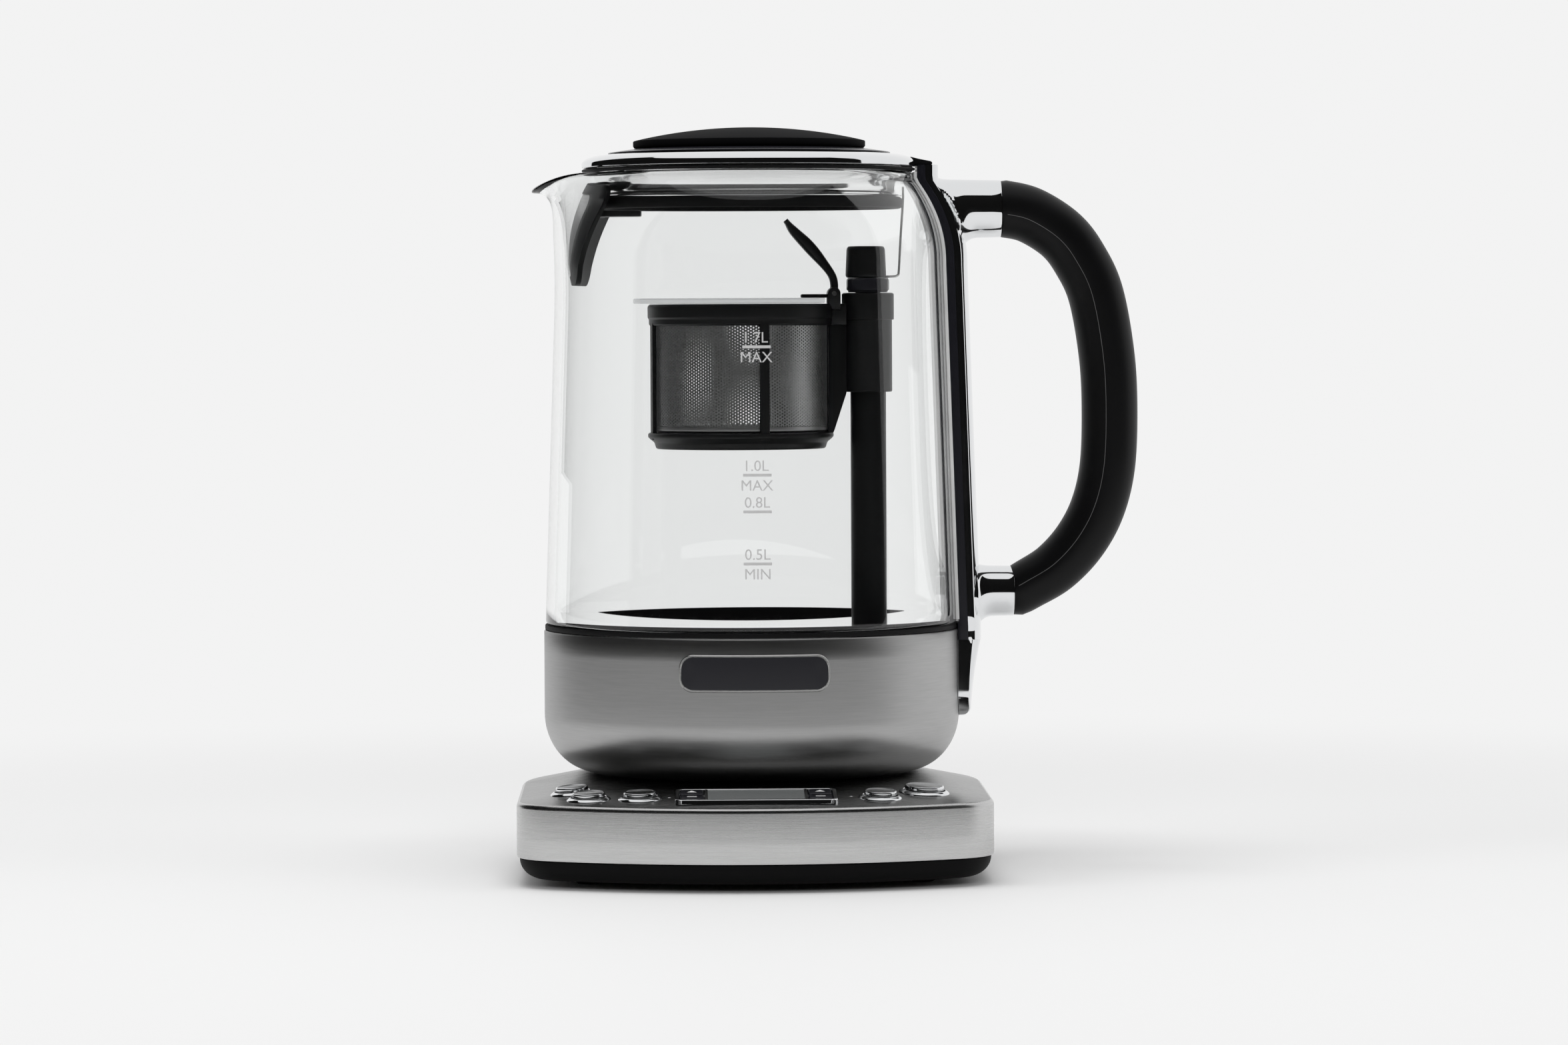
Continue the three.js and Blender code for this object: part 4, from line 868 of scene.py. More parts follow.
def form_of(holder: bpy.types.Object) -> Form:
    """The form that a passing object comes to; the object and its data are removed."""
    made = evaluated(holder)
    form = Form(np.array([tuple(vertex.co) for vertex in made.vertices]),
                tuple(tuple(face.vertices) for face in made.polygons))
    bpy.data.meshes.remove(made)
    data = holder.data
    bpy.data.objects.remove(holder)
    (bpy.data.meshes if isinstance(data, bpy.types.Mesh) else bpy.data.curves).remove(data)
    return form


def mesh_of(name: str, form: Form, finish: Finish, sharp: float = SHARP) -> bpy.types.Object:
    """Makes an object of a form, in metres, in the model's frame.

    Args:
        name: The object's name.
        form: Its surface in millimetres in the jug's frame.
        finish: Its finish.
        sharp: Edges that turn by more degrees than this stay sharp.

    Returns:
        The object, which rides on nothing yet.
    """
    mesh = bpy.data.meshes.new(name)
    points = (form.points + np.array(JUG_AXIS)) * MM
    mesh.from_pydata(points.tolist(), [], [list(face) for face in form.faces])
    shape = bmesh.new()
    shape.from_mesh(mesh)
    bmesh.ops.remove_doubles(shape, verts=shape.verts, dist=SAME_POINT)
    bmesh.ops.dissolve_degenerate(shape, edges=shape.edges, dist=SAME_POINT / 2)
    bmesh.ops.recalc_face_normals(shape, faces=shape.faces)
    shape.to_mesh(mesh)
    shape.free()
    mesh.shade_smooth()
    mesh.set_sharp_from_angle(angle=math.radians(sharp))
    mesh.materials.append(finish.material())
    return linked(name, mesh)


def put(piece: bpy.types.Object, body: Body | str,
        replaces: Sequence[str] = ()) -> None:
    """Declares a finished piece to the frame.

    Args:
        piece: The object.
        body: The body that it moves with.
        replaces: The model nodes that it stands for.
    """
    rider = body.value if isinstance(body, Body) else body
    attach(piece, rider)
    if replaces:
        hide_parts(*replaces)
    triangles = sum(len(face.vertices) - 2 for face in piece.data.polygons)
    log.info("%s: %d triangles on %s", piece.name, triangles, rider)


def make(name: str, form: Form, finish: Finish, body: Body | str, replaces: Sequence[str] = (),
         sharp: float = SHARP) -> None:
    """Makes and declares a piece; see mesh_of and put for the arguments."""
    put(mesh_of(name, form, finish, sharp), body, replaces)


def dress_node(node: str, finish: Finish) -> None:
    """Gives a model node that stays in place a finish."""
    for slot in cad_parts[node].material_slots:
        slot.material = finish.material()


def words(text: str, size: float) -> Form:
    """Plain lettering as a flat form in the XY plane, about the origin.

    Args:
        text: What it says.
        size: Its letter height in millimetres.

    Returns:
        The faces of the letters.
    """
    curve = bpy.data.curves.new("lettering", "FONT")
    curve.body = text
    curve.size = size / LETTER_SHARE
    curve.align_x = curve.align_y = "CENTER"
    curve.resolution_u = 4
    holder = linked("lettering", curve)
    bpy.context.view_layer.update()
    letters = form_of(holder)
    centre = (letters.points.min(axis=0) + letters.points.max(axis=0)) / 2
    return letters.moved(x=-centre[0], y=-centre[1])


def raised(flat: Form, thick: float) -> Form:
    """Gives flat faces in the XY plane a thickness, upwards.

    Args:
        flat: The faces.
        thick: How far they are raised, in millimetres.

    Returns:
        A closed form.
    """
    top = flat.moved(z=thick)
    count = len(flat.points)
    seen: dict[tuple[int, int], int] = {}
    for face in flat.faces:
        for start, end in zip(face, face[1:] + face[:1]):
            seen[(start, end)] = seen.get((start, end), 0) + 1
    sides = tuple((start, end, end + count, start + count)
                  for start, end in seen if (end, start) not in seen)
    whole = flat + top
    return Form(whole.points, whole.faces + sides)


# Geometry Nodes


class Recipe(Graph):
    """A Geometry Nodes tree with named inputs, which grows a mesh from an object's own."""

    def __init__(self, name: str, values: dict[str, float | bpy.types.Material]) -> None:
        """Makes the tree and its inputs.

        Args:
            name: The tree's name.
            values: The inputs' names and values.
        """
        super().__init__(bpy.data.node_groups.new(name, "GeometryNodeTree"))
        self.values = values
        face = self.tree.interface
        face.new_socket("Geometry", in_out="INPUT", socket_type="NodeSocketGeometry")
        face.new_socket("Geometry", in_out="OUTPUT", socket_type="NodeSocketGeometry")
        self.keys = {}
        for label, value in values.items():
            kind = "NodeSocketFloat" if isinstance(value, float) else "NodeSocketMaterial"
            self.keys[label] = face.new_socket(label, in_out="INPUT", socket_type=kind).identifier
        wires = self.node("NodeGroupInput")
        self.source = wires[0]
        self.inputs = dict(zip(values, wires[1:]))

    def vector(self, operation: str, value: Wire, **named: Wire) -> Wire:
        """A Vector Math node."""
        return self.node("ShaderNodeVectorMath", {"operation": operation}, {0: value} | named)[0]

    def finish(self, geometry: Wire) -> None:
        """Ends the tree in Realize Instances and Set Material."""
        real = self.one("GeometryNodeRealizeInstances", Geometry=geometry)
        dressed = self.one("GeometryNodeSetMaterial", Geometry=real,
                           Material=self.inputs["Material"])
        self.node("NodeGroupOutput", None, {"Geometry": dressed})

    def set_out(self, instance: Wire, **more: Wire) -> None:
        """Ends the tree in one instance for each point of the mesh."""
        self.finish(self.one("GeometryNodeInstanceOnPoints", Points=self.source, Instance=instance,
                             **more))

    def grown(self, points: Sequence[tuple[float, float, float]]) -> Form:
        """What the tree makes of a mesh of bare points."""
        mesh = bpy.data.meshes.new("seed")
        mesh.from_pydata(points, [], [])
        holder = linked("seed", mesh)
        modifier = holder.modifiers.new("grow", "NODES")
        modifier.node_group = self.tree
        for label, value in self.values.items():
            modifier[self.keys[label]] = value
        return form_of(holder)


def perforated(width: float, height: float, pitch: float, hole: float, finish: Finish,
               round_to: float = 0.0) -> Form:
    """A flat sheet full of round holes in staggered columns, about the origin.

    Args:
        width: Its size along X; a whole number of column pairs fits it.
        height: Its size along Y.
        pitch: Distance between neighbouring holes.
        hole: Diameter of a hole.
        finish: What it is made of.
        round_to: Radius of the disc that is kept, or 0 for the whole sheet.

    Returns:
        The sheet, without thickness.
    """
    columns = 2 * max(round(width / (math.sqrt(3) * pitch)), 1)
    step = width / columns
    side = step / 1.5
    rise = side * math.sqrt(3)
    rows = max(int(height / rise), 1)
    spots = []
    for column in range(columns):
        x, shift = (column + 0.5) * step - width / 2, 0.25 if column % 2 else -0.25
        spots += [(x, (row + 0.5 + shift) * rise - rows * rise / 2, 0.0) for row in range(rows)]
    if round_to:
        spots = [spot for spot in spots if math.hypot(spot[0], spot[1]) <= round_to - side]
    recipe = Recipe("perforation", {"Side": side, "Hole": hole / 2, "Material": finish.material()})
    tile = recipe.node("GeometryNodeMeshCircle", {"fill_type": "NGON"},
                       {"Vertices": 6, "Radius": recipe.inputs["Side"]})[0]
    sunk = recipe.node("GeometryNodeExtrudeMesh", {"mode": "FACES"},
                       {"Mesh": tile, "Offset Scale": 0.0})
    away = recipe.vector("NORMALIZE", recipe.one("GeometryNodeInputPosition"))
    ring = recipe.vector("SCALE", away, Scale=recipe.inputs["Hole"])
    shaped = recipe.one("GeometryNodeSetPosition", Geometry=sunk[0], Selection=sunk[1],
                        Position=ring)
    pierced = recipe.node("GeometryNodeDeleteGeometry", {"domain": "FACE"},
                          {"Geometry": shaped, "Selection": sunk[1]})[0]
    spread = recipe.one("GeometryNodeInstanceOnPoints", Points=recipe.source, Instance=pierced)
    real = recipe.one("GeometryNodeRealizeInstances", Geometry=spread)
    recipe.finish(recipe.one("GeometryNodeMergeByDistance", Geometry=real, Distance=side * 0.05))
    return recipe.grown(spots)


# Modifiers


def settled(piece: bpy.types.Object, sharp: float = 40.0) -> bpy.types.Object:
    """Turns a piece's modifiers into plain mesh.

    Args:
        piece: The object with its modifiers.
        sharp: Edges that turn by more degrees than this stay sharp.

    Returns:
        The object without modifiers.
    """
    made = evaluated(piece)
    piece.modifiers.clear()
    piece.data = made
    made.shade_smooth()
    made.set_sharp_from_angle(angle=math.radians(sharp))
    return piece


def combined(piece: bpy.types.Object, form: Form, operation: str) -> bpy.types.Object:
    """Adds a form to a piece or takes it away.

    Args:
        piece: The object.
        form: The other surface.
        operation: UNION or DIFFERENCE.

    Returns:
        The object, as plain mesh.
    """
    tool = mesh_of("tool", form, CHROME, 40)
    modifier = piece.modifiers.new("combined", "BOOLEAN")
    modifier.operation = operation
    modifier.solver = "EXACT"
    modifier.use_self = operation == "UNION"
    modifier.object = tool
    settled(piece)
    bpy.data.objects.remove(tool)
    while len(piece.data.materials) > 1:
        piece.data.materials.pop()
    return piece


def thickened(piece: bpy.types.Object, thick: float) -> bpy.types.Object:
    """Gives a sheet its thickness, in millimetres, towards its back."""
    modifier = piece.modifiers.new("thickness", "SOLIDIFY")
    modifier.thickness = thick * MM
    modifier.offset = -1
    return settled(piece, 60)


# Studio


@dataclass
class Studio:
    """The pale floor, the soft lights and the camera."""

    floor_radius: float = 2.6
    near_white: float = 0.895
    floor_shade: float = 0.84
    ambient: float = 0.16
    card_radius: float = 0.98
    card_left: float = 2.16
    card_right: float = 1.4
    card_wing: float = 0.2
    card_top: float = 1.6
    fade_start: float = 0.2
    fade_end: float = 0.8
    lens: float = 129.6
    camera_spot: tuple[float, float, float] = (-0.0596, -2.044, 0.1981)
    camera_tilt: float = 2.05
    camera_turn: float = -1.2
    camera_roll: float = -0.27

    def build(self) -> None:
        """Makes the whole studio."""
        self.floor()
        self.world()
        self.lamps()
        self.dark_card()
        self.camera()
        bpy.context.scene.view_settings.view_transform = "Standard"

    def floor(self) -> None:
        """A wide disc that fades into the background."""
        mesh = bpy.data.meshes.new("studio_floor")
        shape = bmesh.new()
        bmesh.ops.create_circle(shape, cap_ends=True, segments=96, radius=self.floor_radius)
        shape.to_mesh(mesh)
        shape.free()
        material = bpy.data.materials.new("studio_floor")
        sheet = Sheet(material)
        paper = sheet.surface(Base_Color=(self.floor_shade,) * 3, Roughness=0.7,
                              Specular_IOR_Level=0.2)
        glow = sheet.one("ShaderNodeEmission", Color=(self.near_white,) * 3 + (1.0,))
        fade = sheet.radius(sheet.place()).eased(self.fade_start, self.fade_end)
        sheet.output(sheet.blended(fade, paper, glow))
        mesh.materials.append(material)
        linked("studio_floor", mesh)

    def world(self) -> None:
        """An even near-white background, which metal and glass show as well."""
        world = bpy.data.worlds.new("studio")
        bpy.context.scene.world = world
        sheet = Sheet(world)
        rays = sheet.node("ShaderNodeLightPath")
        seen = rays[CAMERA_RAY].either(rays[GLOSSY_RAY]).either(rays[TRANSMISSION_RAY])
        parts = sheet.node("ShaderNodeSeparateXYZ", None,
                           {"Vector": sheet.one("ShaderNodeTexCoord")})
        shine = parts[1].eased(-0.5, 0.7) * 0.35 + parts[2].eased(-0.1, 0.9) * 0.15 + self.ambient
        level = shine * (1 - seen) + seen * self.near_white
        light = sheet.one("ShaderNodeBackground", Color=(1, 1, 1, 1), Strength=level)
        sheet.output(light, "ShaderNodeOutputWorld")

    def lamps(self) -> None:
        """Soft rectangles, one above and three round the part; each faces a point on the Z axis."""
        for name, place, aim, size, power in (
            ("lamp_above", (-0.1, -0.15, 1.6), 0.1, (1.3, 0.9), 14),
            ("lamp_left", (-1.5, -0.5, 0.75), 0.14, (0.7, 1.2), 5),
            ("lamp_right", (1.5, -0.4, 0.75), 0.14, (0.7, 1.2), 4),
            ("lamp_front", (0.2, -2.4, 1.3), 0.14, (1.2, 0.8), 12),
        ):
            light = bpy.data.lights.new(name, "AREA")
            light.shape = "RECTANGLE"
            light.size, light.size_y = size
            light.energy = power
            holder = linked(name, light)
            holder.location = place
            toward = Vector((0, 0, aim)) - Vector(place)
            holder.rotation_euler = toward.to_track_quat("-Z", "Y").to_euler()
            holder.visible_glossy = holder.visible_transmission = False

    def dark_card(self) -> None:
        """A black card bent round the front that only mirrored rays see, through glass as well."""
        material = bpy.data.materials.new("card_black")
        sheet = Sheet(material)
        cloth = sheet.noise(40.0)
        black = sheet.surface(Base_Color=sheet.mixed(cloth, (0.004,) * 3, (0.008,) * 3),
                              Roughness=0.95, Specular_IOR_Level=0.0)
        clear = sheet.one("ShaderNodeBsdfTransparent")
        mirrored = sheet.node("ShaderNodeLightPath")[GLOSSY_DEPTH] > 0.5
        sheet.output(sheet.blended(mirrored, clear, black))
        reach = self.card_radius
        spans = ((-self.card_left, self.card_right, 0.002),
                 (-self.card_left - self.card_wing, -self.card_left, 0.14))
        for index, (first, last, foot) in enumerate(spans):
            start, end = -math.pi / 2 + first, -math.pi / 2 + last
            walls = arc((0, 0), reach, start, end, 48) + arc((0, 0), reach + 0.01, end, start, 48)
            flat = slab(walls, foot, self.card_top)
            mesh = bpy.data.meshes.new(f"dark_card_{index}")
            mesh.from_pydata(flat.points.tolist(), [], [list(face) for face in flat.faces])
            mesh.materials.append(material)
            card = linked(mesh.name, mesh)
            card.visible_camera = card.visible_shadow = card.visible_diffuse = False

    def camera(self) -> None:
        """A long lens just above the lid's height, as in the photograph."""
        data = bpy.data.cameras.new("camera")
        data.lens = self.lens
        data.sensor_width = 36
        data.clip_start, data.clip_end = 0.05, 50
        holder = linked("camera", data)
        turn = (Matrix.Rotation(math.radians(self.camera_turn), 4, "Z")
                @ Matrix.Rotation(math.radians(90 - self.camera_tilt), 4, "X")
                @ Matrix.Rotation(math.radians(self.camera_roll), 4, "Z"))
        holder.matrix_world = Matrix.Translation(Vector(self.camera_spot)) @ turn
        bpy.context.scene.camera = holder


# Power base


@dataclass(frozen=True)
class PanelSpot:
    """A place on the sloped top, with the direction that it faces."""

    name: str
    place: tuple[float, float, float]
    normal: tuple[float, float, float]
    radius: float = 5.75

    def matrix(self) -> Matrix:
        """Carries a form from the origin onto the spot."""
        turn = Vector((0, 0, 1)).rotation_difference(Vector(self.normal)).to_matrix().to_4x4()
        return Matrix.Translation(Vector(self.place)) @ turn


BUTTON_SPOTS = (
    PanelSpot("outer_left", (-64.5, -67.0, 31.377), (-0.07817, -0.042342, 0.99604)),
    PanelSpot("mid_left", (-58.5, -84.0, 30.594), (-0.035675, -0.077505, 0.996353)),
    PanelSpot("inner_left", (-40.5, -87.0, 30.989), (-0.02908, -0.08442, 0.996006)),
    PanelSpot("inner_right", (43.5, -86.5, 30.935), (0.032257, -0.080834, 0.996205)),
    PanelSpot("outer_right", (59.5, -72.0, 31.427), (0.051856, -0.063018, 0.996664), 6.95),
)
DISPLAY_SPOT = PanelSpot("display", (0.0, -89.5, 31.414), (0.0, -0.093604, 0.995609))


@dataclass
class PowerBase:
    """The pillow-topped steel base with its pan, buttons and display."""

    half_width: float = 84.0
    front: float = 112.0
    back: float = 88.0
    bow: float = 155.0
    corner_radius: float = 22.0
    wall: float = 1.6
    hem: float = 10.0
    shoulder: float = 27.7
    edge_rise: float = 1.9
    edge_inset: float = 1.7
    seat: float = 34.0
    seat_radius: float = 62.0
    hub_hole: float = 14.8
    pan_floor: float = 2.5
    pan_inset: float = 9.0
    pan_top: float = 9.7
    pan_lip: float = 4.6
    ring_width: float = 2.05
    ring_rise: float = 1.2
    cap_foot: float = 1.05
    cap_rise: float = 2.8
    cap_dish: float = 0.34
    bezel: tuple[float, float, float, float] = (56.8, 23.0, 2.6, 1.7)
    bezel_rise: float = 1.5
    window_width: float = 34.0
    key_size: tuple[float, float] = (7.9, 9.35)
    key_place: tuple[float, float] = (22.45, 4.9)
    gland_radius: float = 6.4
    gland_bore: float = 3.4
    gland_height: float = 19.0
    sign_rise: tuple[float, float] = (1.5, 1.56)
    screw_place: tuple[float, float] = (30.0, 46.0)
    screw_radius: float = 3.2
    screw_head: float = 0.9
    screw_slot: tuple[float, float, float] = (4.6, 0.8, 1.0)
    dot_radius: float = 0.55
    dot_gap: float = 4.4

    def build(self) -> None:
        """Makes every piece of the base."""
        self.shell()
        self.pan()
        self.feet()
        self.connector()
        self.gland()
        self.buttons()
        self.display()
        self.marks()
        dress_node("control_board", BOARD_GREEN)

    def outline(self, inset: float) -> np.ndarray:
        """The base's plan, drawn in by an inset.

        Args:
            inset: How far inside the widest line.

        Returns:
            Points, anticlockwise from +X.
        """
        back_y, bow_y = self.back - self.half_width, self.bow - self.front
        corner_x = self.half_width - self.corner_radius
        reach = self.bow - self.corner_radius
        corner_y = bow_y - math.sqrt(reach**2 - corner_x**2)
        small = max(self.corner_radius - inset, 0.0)
        lean = math.atan2(corner_x, bow_y - corner_y)
        down = 1.5 * math.pi
        points = arc((0, back_y), self.half_width - inset, 0, math.pi, 96)
        points += arc((-corner_x, corner_y), small, math.pi, down - lean, 20)[:-1]
        points += arc((0, bow_y), self.bow - inset, down - lean, down + lean, 40)
        points += arc((corner_x, corner_y), small, down + lean, TURN, 20)[1:]
        return np.array(points)

    def ring(self, inset: float, height: float) -> np.ndarray:
        """The plan at a height."""
        return at_height(self.outline(inset), height)

    def top_rings(self, inset: float, drop: float) -> list[np.ndarray]:
        """Rings of the pillow top, from its shoulder to the hole in its middle.

        Args:
            inset: How far the surface lies inside the outer one.
            drop: How far it lies below it.

        Returns:
            Rings of points.
        """
        rings = []
        for angle in np.radians(np.linspace(0, 80, 11)):
            turn_in = self.edge_inset * (1 - math.cos(angle))
            height = self.shoulder - drop + self.edge_rise * math.sin(angle)
            rings.append(self.ring(inset + turn_in, height))
        edge = rings[-1]
        reach = np.linalg.norm(edge[:, :2], axis=1, keepdims=True)
        away = edge[:, :2] / reach
        rise = self.seat - drop - edge[0, 2]
        for share, lift in softened([(0, 0), (1, 1), (1.4, 1)], 0.12, False, 6)[1:-1]:
            flat = edge[:, :2] + (away * self.seat_radius - edge[:, :2]) * min(share, 1)
            flat = flat - away * self.seat_radius * max(share - 1, 0)
            rings.append(at_height(flat, edge[0, 2] + rise * lift))
        for out, sunk in ((2.4, 0.0), (1.2, 0.0), (0.0, 0.5)):
            rings.append(at_height(away * (self.hub_hole + out), self.seat - drop - sunk))
        return rings

    def shell(self) -> None:
        """The brushed steel cover, with a rolled hem and a thin wall."""
        hem = [self.ring(0.9, self.hem), self.ring(0.3, self.hem + 0.15),
               self.ring(0.0, self.hem + 0.9), self.ring(0.0, self.hem + 8)]
        inside = self.top_rings(self.wall, self.wall)[::-1] + [self.ring(self.wall, self.hem + 0.3)]
        form = loft(hem + self.top_rings(0, 0) + inside, closed=True)
        make("base_steel_cover", form, BASE_STEEL, Body.BASE, ["base_shell"], 50)

    def pan(self) -> None:
        """The black pan that curves in under the steel, with a raised foot rim and screws."""
        lip, low, top, belly = self.wall + 0.3, self.pan_floor, self.pan_top, self.pan_inset
        line = [(24, low + 1.2), (21, low + 1.2), (19.8, low + 0.2), (belly + 0.6, low)]
        line += [(belly - (belly - 1) * math.sin(angle), low + (top - low) * (1 - math.cos(angle)))
                 for angle in np.linspace(0.12, math.pi / 2, 10)]
        line += [(1.3, top), (lip, top), (lip, top + self.pan_lip), (lip + 2.4, top + self.pan_lip),
                 (lip + 2.4, top), (belly + 3, low + 3.6), (24, low + 3.6)]
        make("base_tray", loft([self.ring(*spot) for spot in line]), TRAY_BLACK, Body.BASE,
             ["base_pan"], 40)
        self.screws()

    def screws(self) -> None:
        """Pan-head screws with a slot, sunk in the underside, made by Geometry Nodes."""
        across, along = self.screw_place
        spots = [(x * across, y * along, self.pan_floor + 1.15) for x in (-1, 1) for y in (-1, 1)]
        recipe = Recipe("tray_screws", {"Head": self.screw_radius, "Drop": self.screw_head,
                                        "Material": TURNED_STEEL.material()})
        head = recipe.node("GeometryNodeMeshCylinder", {"fill_type": "NGON"},
                           {"Vertices": 32, "Radius": recipe.inputs["Head"],
                            "Depth": recipe.inputs["Drop"]})[0]
        slot = recipe.one("GeometryNodeMeshCube", Size=self.screw_slot)
        low = recipe.one("GeometryNodeTransform", Geometry=slot,
                         Translation=(0, 0, -self.screw_slot[2] / 2))
        cut = recipe.node("GeometryNodeMeshBoolean", {"operation": "DIFFERENCE"},
                          {"Mesh 1": head, "Mesh 2": low})[0]
        turn = recipe.node("FunctionNodeRandomValue", {"data_type": "FLOAT"},
                           {2: 0.0, 3: 3.0, "Seed": 7})[1]
        spin = recipe.one("ShaderNodeCombineXYZ", _2=turn)
        recipe.set_out(cut, Rotation=spin)
        make("tray_screws", recipe.grown(spots), TURNED_STEEL, Body.BASE)

    def feet(self) -> None:
        """Four round rubber feet."""
        nodes = [f"foot_{row}_{side}" for row in ("front", "rear") for side in ("left", "right")]
        profile = [(0, 0), (2.2, 0), (2.6, 0.35), (3.2, 0.35), (3.6, 0), (4.6, 0.7), (4.6, 2.45),
                   (0, 2.45)]
        foot = turned(profile, 0.3, 40, False)
        places = [middle(node) - JUG_AXIS for node in nodes]
        make("base_feet", total([foot.moved(place.x, place.y) for place in places]), RUBBER,
             Body.BASE, nodes)

    def connector(self) -> None:
        """The round power connector, with its contact rings."""
        profile = [(0, 44.2), (2.4, 44.2), (2.4, 45.2), (3.4, 46.0), (4.4, 46.0), (4.4, 42.4),
                   (8.6, 42.4), (8.6, 46), (12.6, 46), (14.2, 44.4), (14.2, 36.4), (14.2, 32.1),
                   (19.7, 32.1), (19.7, 25.1), (0, 25.1)]
        make("power_hub", turned(profile, 0.45, 96, False), BLACK, Body.BASE, ["power_connector"],
             40)
        rings = [turned([(r, 42.2), (r + 0.9, 42.2), (r + 0.9, 44.0), (r, 44.0)], 0.2, SMALL_SIDES)
                 for r in (5.4, 7.0)]
        pin = turned([(0, 45.4), (1.3, 45.2), (1.5, 44.0), (1.5, 42.4), (0, 42.4)], 0.3, 40, False)
        make("power_hub_contacts", total(rings + [pin]), BRASS, Body.BASE)

    def gland(self) -> None:
        """The cord's bushing at the back, with grip ribs."""
        bore, reach = self.gland_bore, self.gland_radius
        profile = [(bore, 0), (reach - 1.4, 0)]
        for ring in (0.5, 3.2, 5.9):
            profile += [(reach, ring), (reach, ring + 1.5), (reach - 0.6, ring + 1.7),
                        (reach - 0.6, ring + 2.5)]
        profile += [(reach, 8.8), (reach + 1.9, 9.1), (reach + 1.9, 10.8), (bore, 11.0)]
        rear = corner("cord_gland")[1].y - JUG_AXIS.y
        place = Matrix.Translation((0, rear, self.gland_height)) @ LAID
        make("cord_bushing", turned(profile, 0.3, 64).placed(place), RUBBER, Body.BASE,
             ["cord_gland"])

    def buttons(self) -> None:
        """Five dished chrome caps in polished rings."""
        rings, wells = [], []
        foot, top = self.cap_foot, self.cap_rise
        for spot in BUTTON_SPOTS:
            rim, inner, outer = spot.radius, spot.radius + 0.3, spot.radius + self.ring_width
            ring = [(inner, -0.5), (outer, -0.5), (outer, 0.25), (outer - 0.35, 0.62),
                    (outer - 1.0, 1.05), (inner + 0.25, self.ring_rise),
                    (inner, self.ring_rise - 0.25)]
            well = [(0, 0.06), (inner + 0.1, 0.06), (inner + 0.1, -0.4), (0, -0.4)]
            cap = [(0, foot), (rim - 0.3, foot), (rim, foot + 0.3), (rim, top - 0.5),
                   (rim - 0.16, top - 0.16), (rim - 0.5, top), (rim - 0.9, top - 0.05)]
            cap += [(rim * share, top - self.cap_dish * (1 - share**2) - 0.05)
                    for share in (0.8, 0.65, 0.5, 0.35, 0.2, 0.1, 0.0)]
            rings.append(turned(ring, 0.3).placed(spot.matrix()))
            wells.append(revolve(well, 48, False).placed(spot.matrix()))
            body = f"button_{spot.name}"
            make(f"push_{body}", turned(cap, 0.12, 96, False, 3).placed(spot.matrix()), CHROME,
                 body, [body])
        make("button_ring_set", total(rings), CHROME, Body.BASE,
             [f"button_ring_{spot.name}" for spot in BUTTON_SPOTS])
        make("button_wells", total(wells), BLACK, Body.BASE)

    def display(self) -> None:
        """The framed display with its window, its dark keypads and four keys."""
        width, depth, corner_radius, border = self.bezel
        wide, deep, top = width - 2 * border, depth - 2 * border, self.bezel_rise
        place = DISPLAY_SPOT.matrix()
        outer = round_rect(width, depth, corner_radius, 10)
        inner = round_rect(wide, deep, corner_radius - 1.1, 10)
        bar = slab(round_rect(0.9, deep + 0.4, 0.2, 3), -0.9, top - 0.1)
        bars = [bar.moved(x=way * (self.window_width / 2 + 0.45)) for way in (-1, 1)]
        rim = frame_of(outer, inner, -0.9, top, 0.35)
        make("display_frame", total([rim] + bars).placed(place), CHROME, Body.BASE,
             ["display_bezel"])
        bed = slab(round_rect(wide + 0.6, deep + 0.6, 1.6, 6), -0.9, 0.15)
        make("display_bed", bed.placed(place), GLOSS_BLACK, Body.BASE)
        glass = softened(round_rect(self.window_width - 0.2, deep - 0.2, 0.5, 4), 0.05)
        pane = slab(glass, 0.1, top - 0.25)
        make("display_pane", pane.placed(place), DISPLAY, Body.BASE, ["display_window"])
        for side, way in (("left", -1), ("right", 1)):
            for row, up in (("rear", 1), ("front", -1)):
                self.key(f"display_key_{side}_{row}", way, up, place)

    def key(self, node: str, way: int, up: int, place: Matrix) -> None:
        """One key of the display, with its sign.

        Args:
            node: The model node and body.
            way: -1 on the left, 1 on the right.
            up: 1 for the rear row, which has an arrow, -1 for the front row, which has a bar.
            place: Where the display is.
        """
        spot = place @ Matrix.Translation((way * self.key_place[0], up * self.key_place[1], 0))
        flat = np.array(round_rect(*self.key_size, 0.8, 5))
        levels = ((0, 0.8), (0, 1.3), (0.12, 1.44), (0.35, 1.5))
        cap = loft([at_height(flat * (1 - inset / 4), height) for inset, height in levels])
        make(f"{node}_cap", cap.placed(spot), GLOSS_BLACK, node, [node])
        arrow = [(-1.7, -1.1), (1.7, -1.1), (0, 1.7)]
        bar = [(-1.7, -0.35), (1.7, -0.35), (1.7, 0.35), (-1.7, 0.35)]
        sign = slab(arrow if up > 0 else bar, *self.sign_rise).placed(spot)
        put(mesh_of(f"{node}_sign", sign, WHITE_INK), node)

    def marks(self) -> None:
        """Small printed dots beside the buttons."""
        reach = self.dot_radius
        dot = revolve([(0, 0.02), (reach, 0.02), (reach, 0.07), (0, 0.07)], 20, False)
        forms = []
        for spot in BUTTON_SPOTS[1:4]:
            toward = -1 if spot.place[0] > 0 else 1
            out = toward * (spot.radius + self.dot_gap)
            forms.append(dot.moved(x=out, y=1.2).placed(spot.matrix()))
        make("panel_dots", total(forms), GREY_INK, Body.BASE)


# Jug


